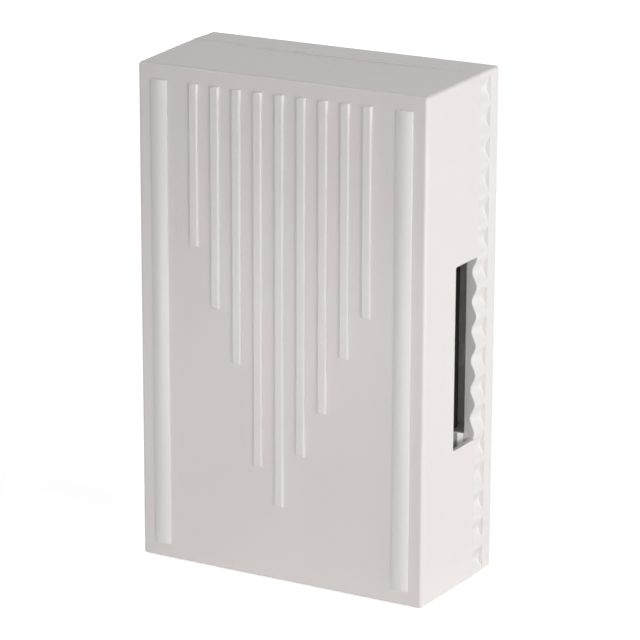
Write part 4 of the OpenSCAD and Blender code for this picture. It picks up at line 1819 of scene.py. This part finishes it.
@dataclass
class Solenoid:
    """Coil, bobbin and yoke."""

    case: Case
    yoke_thick: float = 2.0
    yoke_width: float = 22.0
    yoke_bend: float = 1.0
    yoke_edge: float = 0.2
    ear_corner: float = 2.5
    spigot_hole: float = 11.06
    screw_hole: float = 3.1
    screw_turns_deg: Pair = (22.0, 57.0)
    bore: float = 8.16
    spigot: float = 10.96
    tube: float = 11.96
    flange_thick: float = 1.6
    body_half: float = 22.0
    bobbin_edge: float = 0.25
    tape_thick: float = 0.35
    tape_over: float = 0.12
    lap_margin: float = 0.6
    lap_arc_deg: float = 70.0
    lap_middle_deg: float = 150.0
    lap_steps: int = 14

    def build(self, finishes: Finishes) -> None:
        """Build the yoke, its screws, the bobbin and the tape.

        Args:
            finishes: The finishes of the chime.
        """
        fix_to_base((
            (self.yoke(), "yoke_strip", "yoke_steel", "solenoid_yoke", finishes.yoke),
            (self.screws(), "yoke_screw_pair", "zinc_steel", "yoke_screws", finishes.zinc),
            (self.bobbin(), "bobbin_moulding", "natural_nylon", "coil_bobbin", finishes.nylon),
            (self.tape(), "coil_wrap", "amber_tape", "coil_tape", finishes.tape),
        ))

    def yoke(self) -> BMesh:
        """Make the bent strip with its feet and holes.

        Returns:
            The yoke.
        """
        case = self.case
        low, high = node_span("solenoid_yoke")
        t, bend, half = self.yoke_thick, self.yoke_bend, self.yoke_width / 2
        z0, z1 = case.axis[1] - half, case.axis[1] + half
        outer = block((low.x, low.y, z0), (high.x, high.y, z1))
        round_over(outer, edges_along(outer, Axis.Z, lambda m: abs(m.y - high.y) < NEAR), bend + t, 8)
        inner = block((low.x + t, low.y - OVERRUN, z0 - OVERRUN), (high.x - t, high.y - t, z1 + OVERRUN))
        round_over(inner, edges_along(inner, Axis.Z, lambda m: abs(m.y - high.y + t) < NEAR), bend, 6)
        strip = carve(outer, inner)
        ear_corners = edges_along(strip, Axis.X, lambda m: abs(m.y - low.y) < NEAR)
        round_over(strip, ear_corners, self.ear_corner, 5)
        foot = case.yoke_foot / 2
        web = block((-foot, high.y - t, low.z), (foot, high.y, high.z))
        round_over(web, edges_along(web, Axis.Y), foot * FULL_ROUND, 10)
        strip = carve(strip, web, Carve.JOIN)
        through = (low.x - OVERRUN, high.x + OVERRUN)
        strip = carve(strip, plug(self.spigot_hole / 2, through, case.axis, Axis.X))
        down = (high.y - t - OVERRUN, high.y + OVERRUN)
        for z in case.foot_heights():
            strip = carve(strip, plug(self.screw_hole / 2, down, (0, z), Axis.Y, steps=32))
        return soften(strip, self.yoke_edge)

    def screws(self) -> BMesh:
        """Make the two screws of the yoke."""
        seat = node_span("solenoid_yoke")[1].y - self.yoke_thick
        places = zip(self.case.foot_heights(), self.screw_turns_deg)
        return gather(FIXING_SCREW.make(0, seat, z, turn) for z, turn in places)

    def bobbin(self) -> BMesh:
        """Make the bobbin with its flanges and spigots.

        Returns:
            The bobbin.
        """
        low, high = node_span("coil_bobbin")
        rim = (high.z - low.z) / 2
        bore, spigot, tube = self.bore / 2, self.spigot / 2, self.tube / 2
        a, b, f = low.x, -self.body_half, self.flange_thick
        left = [(bore, a), (spigot, a), (spigot, b), (rim, b), (rim, b + f), (tube, b + f)]
        right = [(r, -x) for r, x in reversed(left)]
        bm = lathe(left + right, self.case.axis, Axis.X, ring=True, steps=64)
        return soften(bm, self.bobbin_edge, 3)

    def tape(self) -> BMesh:
        """Make the tape wrap with its lapped end.

        Returns:
            The wrap.
        """
        low, high = node_span("coil_tape")
        axis_y, axis_z = self.case.axis
        outer = (high.z - low.z) / 2
        wrap = sleeve((outer - self.tape_thick, outer), (low.x, high.x), self.case.axis, Axis.X, steps=96)
        lap = bmesh.new()
        bmesh.ops.create_grid(lap, x_segments=1, y_segments=self.lap_steps, size=0.5)
        width, arc = high.x - low.x - self.lap_margin, math.radians(self.lap_arc_deg)
        for vert in lap.verts:
            angle = vert.co.y * arc + math.radians(self.lap_middle_deg)
            y, z = axis_y + outer * math.sin(angle), axis_z - outer * math.cos(angle)
            vert.co = Vector((vert.co.x * width, y, z))
        bmesh.ops.recalc_face_normals(lap, faces=lap.faces)
        bmesh.ops.solidify(lap, geom=lap.faces[:], thickness=self.tape_over)
        return gather((wrap, lap))


@dataclass
class Striker:
    """Core, rods and tips that move together, and the spring that returns them."""

    case: Case
    chamfer: float = 0.5
    grooves: int = 3
    groove_start: float = 3.0
    groove_pitch: float = 1.2
    groove_width: float = 0.7
    groove_depth: float = 0.2
    rod: float = 5.0
    rod_edge: float = 0.2
    nose: float = 4.0
    nose_length: float = 1.0
    flange: float = 11.46
    flange_thick: float = 1.8
    flange_fillet: float = 0.5
    tip_chamfer: float = 0.4
    tip_rise: float = 0.6
    tip_rise_share: float = 0.5
    tip_steps: int = 8
    spring_gap: float = 0.05
    wire: float = 0.9
    wire_sides: int = 3
    mean: float = 9.56
    end_pitch: float = 1.65
    turns: int = 4
    ring_steps: int = 28

    def build(self, finishes: Finishes) -> None:
        """Build the moving pieces and the spring.

        Args:
            finishes: The finishes of the chime.
        """
        core = Seat("striker", "core_steel", ("armature",))
        finish_piece(self.core(), "armature_core", core, finishes.core)
        for side in Side:
            word = side.name.lower()
            rod = Seat("striker", "natural_nylon", ("striker_rod_" + word,))
            finish_piece(self.rod_piece(side), "striker_rod_" + word + "_turned", rod, finishes.nylon)
            tip = Seat("striker", "black_rubber", ("striker_tip_" + word,))
            finish_piece(self.tip(side), "striker_tip_" + word + "_domed", tip, finishes.rubber)
        self.spring(finishes)

    def turned(self, profile: Sequence[Pair]) -> BMesh:
        """Spin an outline on the striker's axis."""
        return lathe(profile, self.case.axis, Axis.X)

    def core(self) -> BMesh:
        """Make the steel core with turned chamfers and oil grooves.

        Returns:
            The core.
        """
        low, high = node_span("armature")
        r = (high.z - low.z) / 2
        ease, deep, wide = self.chamfer, self.groove_depth, self.groove_width
        profile: list[Pair] = [(0, low.x), (r - ease, low.x), (r, low.x + ease)]
        for k in range(self.grooves):
            x = low.x + self.groove_start + k * self.groove_pitch
            profile += [(r, x), (r - deep, x + deep), (r - deep, x + wide - deep), (r, x + wide)]
        profile += [(r, high.x - ease), (r - ease, high.x), (0, high.x)]
        return self.turned(profile)

    def rod_piece(self, side: Side) -> BMesh:
        """Make one nylon rod, the left one with its spring flange.

        Args:
            side: Side of the core.

        Returns:
            The rod.
        """
        core_low, core_high = node_span("armature")
        tip_low, tip_high = node_span("striker_tip_" + side.name.lower())
        r, nose = self.rod / 2, self.nose / 2
        if side is Side.LEFT:
            end = tip_high.x - self.nose_length
            face = node_span("return_spring")[0].x - self.spring_gap
            back, rim, ease = face - self.flange_thick, self.flange / 2, self.flange_fillet
            profile = [
                (0, end), (nose, end), (nose, tip_high.x), (r, tip_high.x),
                (r, back - ease), (r + ease, back), (rim, back), (rim, face),
                (r, face), (r, core_low.x), (0, core_low.x),
            ]
        else:
            end = tip_low.x + self.nose_length
            profile = [
                (0, core_high.x), (r, core_high.x), (r, tip_low.x),
                (nose, tip_low.x), (nose, end), (0, end),
            ]
        return soften(self.turned(profile), self.rod_edge)

    def tip(self, side: Side) -> BMesh:
        """Make one domed tip.

        Args:
            side: Side of the core.

        Returns:
            The tip.
        """
        low, high = node_span("striker_tip_" + side.name.lower())
        r, length, ease = (high.z - low.z) / 2, high.x - low.x, self.tip_chamfer
        shoulder = length - r * self.tip_rise_share - self.tip_rise
        profile: list[Pair] = [(0, 0), (r - ease, 0), (r, ease), (r, shoulder)]
        profile += dome(r, shoulder, length, self.tip_steps)
        start = high.x if side is Side.LEFT else low.x
        return self.turned([(radius, start + side.value * place) for radius, place in profile])

    def spring(self, finishes: Finishes) -> None:
        """Make the return spring between the base and the striker, which rides on no body.

        Args:
            finishes: The finishes of the chime.
        """
        low, high = node_span("return_spring")
        axis_y, axis_z = self.case.axis
        end_rise = self.end_pitch * self.wire
        mid_rise = (high.x - low.x - self.wire - 2 * end_rise) / self.turns
        points = []
        for k in range((self.turns + 2) * self.ring_steps + 1):
            turn = k / self.ring_steps
            first, last = min(turn, 1.0), max(0.0, turn - 1 - self.turns)
            middle = max(0.0, min(turn - 1, self.turns))
            reach = end_rise * first + mid_rise * middle + end_rise * last
            angle = 2 * math.pi * turn
            points.append(Vector((
                high.x - self.wire / 2 - reach,
                axis_y + self.mean / 2 * math.cos(angle),
                axis_z + self.mean / 2 * math.sin(angle),
            )))
        seat = Seat("base", "spring_steel", ("return_spring",))
        coil = tube_along(points, self.wire / 2, self.wire_sides)
        piece = finish_piece(coil, "return_spring_coil", seat, finishes.spring, ride=False)
        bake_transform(piece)


@dataclass
class Wiring:
    """Terminal block, leads and the cable grommet."""

    case: Case
    corner: float = 1.0
    edge: float = 0.25
    bay_depth: float = 3.2
    bay_clear: float = 0.05
    barrier: float = 2.0
    clamp: float = 8.6
    clamp_edge: float = 0.2
    clamp_turn_deg: float = 30.0
    clamp_turn_step_deg: float = 50.0
    counterbore: float = 6.2
    counterbore_depth: float = 2.5
    fixing_up: float = 3.5
    fixing_turn_deg: float = 35.0
    lead: float = 1.6
    lead_sides: int = 4
    lead_clear: float = 0.05
    lead_x: float = 15.0
    lead_low: float = -7.5
    lead_drop: float = 11.6
    lead_dip: float = 12.0
    lead_rise: float = 18.0
    lead_run: float = 9.0
    lead_bend: float = 6.0
    bend_steps: int = 8
    bore: float = 8.0
    neck: float = 12.0
    rim: float = 16.0
    rim_thick: float = 1.3
    grommet_round: float = 0.3

    def build(self, finishes: Finishes) -> None:
        """Build the terminals, the leads and the grommet.

        Args:
            finishes: The finishes of the chime.
        """
        plates = gather(self.clamp_plate(side) for side in Side)
        screws = gather(self.clamp_screw(side) for side in Side)
        red, white = (self.lead_wire(side) for side in Side)
        fix_to_base((
            (self.resin_body(), "terminal_body", "brown_resin", "terminal_block", finishes.resin),
            (self.block_screw(), "terminal_fixing", "zinc_steel", "block_screw", finishes.zinc),
            (plates, "terminal_plates", "terminal_brass", "terminal_clamps", finishes.brass),
            (screws, "terminal_screw_pair", "terminal_brass", "terminal_screws", finishes.brass),
            (red, "lead_wire_left_sleeve", "red_insulation", "lead_wire_left", finishes.red),
            (white, "lead_wire_right_sleeve", "white_insulation", "lead_wire_right", finishes.white),
            (self.grommet(), "cable_bush", "black_rubber", "cable_grommet", finishes.rubber),
        ))

    def bay_width(self) -> float:
        """Width of each terminal's bay."""
        low, high = node_span("terminal_block")
        return (high.x - low.x - 3 * self.barrier) / 2

    def bay_x(self) -> float:
        """Distance of each terminal from the middle."""
        return (self.bay_width() + self.barrier) / 2

    def resin_body(self) -> BMesh:
        """Make the resin block with its bays and screw seat.

        Returns:
            The block.
        """
        low, high = node_span("terminal_block")
        bm = block(low, high)
        round_over(bm, edges_along(bm, Axis.Y), self.corner, 4)
        half = self.bay_width() / 2
        bay_low = (low.z + high.z) / 2 - self.clamp / 2 - self.bay_clear
        for side in Side:
            x = side.value * self.bay_x()
            bm = carve(bm, block(
                (x - half, low.y - OVERRUN, bay_low), (x + half, low.y + self.bay_depth, high.z + OVERRUN)
            ))
        span = (low.y - OVERRUN, low.y + self.counterbore_depth)
        bm = carve(bm, plug(self.counterbore / 2, span, (0, low.z + self.fixing_up), Axis.Y, steps=32))
        return soften(bm, self.edge)

    def block_screw(self) -> BMesh:
        """Make the screw that holds the block.

        Returns:
            The screw.
        """
        low, high = node_span("block_screw")
        seat = low.y + FIXING_SCREW.head_thick
        height = node_span("terminal_block")[0].z + self.fixing_up
        return replace(FIXING_SCREW, length=high.y - seat).make(0, seat, height, self.fixing_turn_deg)

    def clamp_plate(self, side: Side) -> BMesh:
        """Make one brass clamp plate.

        Args:
            side: Side of the block.

        Returns:
            The plate.
        """
        low, high = node_span("terminal_clamps")
        x, z = side.value * self.bay_x(), (low.z + high.z) / 2
        half = self.clamp / 2
        return soften(block((x - half, low.y, z - half), (x + half, high.y, z + half)), self.clamp_edge)

    def clamp_screw(self, side: Side) -> BMesh:
        """Make one brass clamp screw.

        Args:
            side: Side of the block.

        Returns:
            The screw.
        """
        low, high = node_span("terminal_clamps")
        length = node_span("terminal_screws")[1].y - low.y
        spec = ScrewSpec(shank=3.5, head=6.1, head_thick=1.6, length=length, pitch=0.8)
        turn = self.clamp_turn_deg - self.clamp_turn_step_deg * side.value
        return spec.make(side.value * self.bay_x(), low.y, (low.z + high.z) / 2, turn)

    def lead_wire(self, side: Side) -> BMesh:
        """Make one insulated lead along its route.

        Args:
            side: Side of the coil that it leaves.

        Returns:
            The lead.
        """
        axis_y = self.case.axis[0]
        clamp_high = node_span("terminal_clamps")[1]
        start, end = node_span("coil_tape")[0].z - self.lead_clear, clamp_high.z
        end_y = clamp_high.y - self.lead / 2 - self.lead_clear
        bay = self.bay_x()
        knots = [
            Vector((self.lead_x, axis_y, start)),
            Vector((self.lead_x, axis_y, start - self.lead_drop)),
            Vector((self.lead_x, self.lead_low, start - self.lead_drop - self.lead_dip)),
            Vector((bay, self.lead_low, end + self.lead_rise)),
            Vector((bay, end_y, end + self.lead_run)),
            Vector((bay, end_y, end)),
        ]
        points = [knots[0]]
        for before, knot, after in zip(knots, knots[1:], knots[2:]):
            first = self.toward(knot, before)
            last = self.toward(knot, after)
            for k in range(self.bend_steps + 1):
                t = k / self.bend_steps
                points.append(first * (1 - t) ** 2 + knot * (2 * t * (1 - t)) + last * t * t)
        points.append(knots[-1])
        return on_side(tube_along(points, self.lead / 2, self.lead_sides), side)

    def toward(self, start: Vector, goal: Vector) -> Vector:
        """Go from one knot towards another, by the bend or half the way."""
        run = goal - start
        return start + run.normalized() * min(self.lead_bend, run.length / 2)

    def grommet(self) -> BMesh:
        """Make the cable grommet.

        Returns:
            The grommet.
        """
        low, high = node_span("cable_grommet")
        radii = (self.bore / 2, self.neck / 2, self.rim / 2)
        centre = (0.0, (low.z + high.z) / 2)
        bush = flanged_bush(radii, self.rim_thick, (low.y, high.y), centre, Axis.Y)
        return soften(bush, self.grommet_round, 3)


# Studio


@dataclass(frozen=True)
class Lamp:
    """A soft rectangular lamp.

    Attributes:
        name: Name of the lamp.
        place: Its place in metres.
        aim: What it points at.
        width: Its width in metres.
        height: Its height in metres.
        power: Power in watts.
    """

    name: str
    place: Point
    aim: Point
    width: float
    height: float
    power: float

    def build(self) -> None:
        """Place the lamp."""
        data = bpy.data.lights.new(self.name, "AREA")
        data.shape = "RECTANGLE"
        data.size = self.width
        data.size_y = self.height
        data.energy = self.power
        lamp = linked(self.name, data)
        lamp.location = self.place
        lamp.visible_camera = False
        lamp.rotation_euler = (Vector(self.aim) - Vector(self.place)).to_track_quat("-Z", "Y").to_euler()


@dataclass
class Studio:
    """Camera, lamps and floor.

    Attributes:
        azimuth_deg: Camera to the right of the front.
        elevation_deg: Camera above level.
        roll_deg: Turn of the camera about its view.
        distance: Camera from the middle of the case, in metres.
        lens: Focal length, in millimetres.
        sensor: Width of the sensor, in millimetres.
        side_step: Camera moved to its right, in metres.
        up_step: Camera moved up, in metres.
        floor_size: Length of the floor's side, in metres.
        floor_colour: Colour of the floor.
        floor_lift: Plain white added to the lit floor as the camera sees it.
        floor_fade: Where the added white starts to grow and where it is full, in metres.
        ambient: Strength of the even light from all sides.
        lamps: The lamps.
    """

    azimuth_deg: float = 28.87
    elevation_deg: float = 16.82
    roll_deg: float = 0.20
    distance: float = 1.2711
    lens: float = 186.06
    sensor: float = 36.0
    side_step: float = 0.00164
    up_step: float = -0.00128
    floor_size: float = 6.0
    floor_colour: Colour = (0.86, 0.86, 0.86)
    floor_lift: float = 0.78
    floor_fade: Pair = (0.45, 1.0)
    ambient: float = 0.05
    lamps: tuple[Lamp, ...] = (
        Lamp("key_right", (2.10, -1.47, 0.20), (0.0, -0.03, 0.0), 0.50, 0.50, 16.0),
        Lamp("right_high", (0.98, -0.10, 0.78), (0.04, -0.03, 0.0), 0.25, 0.25, 5.0),
        Lamp("near_camera", (0.58, -1.10, 0.28), (0.0, -0.03, 0.0), 0.30, 0.30, 1.4),
        Lamp("upper_left", (-0.60, -0.61, 1.10), (0.0, -0.04, 0.10), 0.22, 0.22, 2.3),
        Lamp("card_front", (-0.02, -0.30, -0.09), (0.0, -0.06, -0.03), 0.30, 0.12, 0.205),
        Lamp("card_right", (0.40, -0.01, -0.05), (0.06, -0.02, -0.03), 0.12, 0.12, 0.25),
        Lamp("fill_back", (-0.95, 0.95, -0.02), (0.0, 0.0, 0.0), 0.90, 0.12, 6.0),
    )

    def build(self, case: Case) -> None:
        """Build the camera, the lamps, the floor and the world.

        Args:
            case: Sizes of the case.
        """
        self.camera(Vector((0, case.front / 2, 0)) * MM)
        for lamp in self.lamps:
            lamp.build()
        self.floor(-case.height / 2 * MM)
        self.world()

    def camera(self, target: Vector) -> None:
        """Place the camera at the photograph's angle.

        Args:
            target: Middle of the case.
        """
        az, el, roll = (math.radians(a) for a in (self.azimuth_deg, self.elevation_deg, self.roll_deg))
        back = Vector((math.sin(az) * math.cos(el), -math.cos(az) * math.cos(el), math.sin(el)))
        level = (-back).cross(Vector((0, 0, 1))).normalized()
        upright = level.cross(-back)
        right = level * math.cos(roll) + upright * math.sin(roll)
        up = upright * math.cos(roll) - level * math.sin(roll)
        data = bpy.data.cameras.new("photo_camera")
        data.lens = self.lens
        data.sensor_width = self.sensor
        camera = linked("photo_camera", data)
        place = target + back * self.distance + right * self.side_step + up * self.up_step
        turn = Matrix((right, up, back)).transposed().to_4x4()
        camera.matrix_world = Matrix.Translation(place) @ turn
        bpy.context.scene.camera = camera

    def seen_ray(self, graph: Graph) -> Socket:
        """Give 1 on rays that show the background: straight, mirrored or through glass.

        Args:
            graph: Graph of the floor or the world.

        Returns:
            1 or 0.
        """
        path = graph.add("ShaderNodeLightPath").outputs
        straight = graph.math("MAXIMUM", path["Is Camera Ray"], path["Is Glossy Ray"])
        return graph.math("MAXIMUM", straight, path["Is Transmission Ray"])

    def floor(self, height: float) -> None:
        """Lay the pale floor, which keeps the shadow.

        Args:
            height: Its height in metres.
        """
        material = bpy.data.materials.new("pale_floor")
        material.use_nodes = True
        graph = Graph(material.node_tree)
        lit = graph.add("ShaderNodeBsdfDiffuse", Color=(*self.floor_colour, 1.0))
        away = graph.add("ShaderNodeVectorMath", {"operation": "LENGTH"})
        graph.feed(away.inputs[0], graph.place())
        share = graph.scale(away.outputs["Value"], *self.floor_fade, self.floor_lift, 1.0)
        lift = graph.math("MULTIPLY", self.seen_ray(graph), share)
        white = graph.add("ShaderNodeEmission", Color=(1, 1, 1, 1), Strength=lift)
        both = graph.add("ShaderNodeAddShader")
        for socket, shader in zip(both.inputs, (lit, white)):
            graph.feed(socket, shader.outputs[0])
        graph.add("ShaderNodeOutputMaterial", Surface=both.outputs[0])
        bm = bmesh.new()
        bmesh.ops.create_grid(bm, x_segments=1, y_segments=1, size=self.floor_size / 2)
        bmesh.ops.translate(bm, vec=(0, 0, height), verts=bm.verts)
        mesh = to_mesh(bm, "studio_floor")
        mesh.materials.append(material)
        floor = linked("studio_floor", mesh)

    def world(self) -> None:
        """Set the white backdrop and the even light from all sides."""
        world = bpy.data.worlds.new("studio_world")
        bpy.context.scene.world = world
        world.use_nodes = True
        graph = Graph(world.node_tree)
        strength = graph.scale(self.seen_ray(graph), 0.0, 1.0, self.ambient, 1.0)
        sky = graph.add("ShaderNodeBackground", Color=(1, 1, 1, 1), Strength=strength)
        graph.add("ShaderNodeOutputWorld", Surface=sky.outputs[0])


def main() -> None:
    """Build the chime and its studio."""
    logging.basicConfig(level=logging.INFO, format="%(name)s %(message)s")
    bpy.context.scene.view_settings.view_transform = "Standard"
    finishes = Finishes()
    case = Case.from_frame()
    for kind in (FrontCover, BaseTray, TonePlates, Solenoid, Striker, Wiring):
        kind(case).build(finishes)
    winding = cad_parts["coil_winding"]
    winding.data.materials.clear()
    winding.data.materials.append(finishes.copper)
    Studio().build(case)


if __name__ == "__main__":
    main()
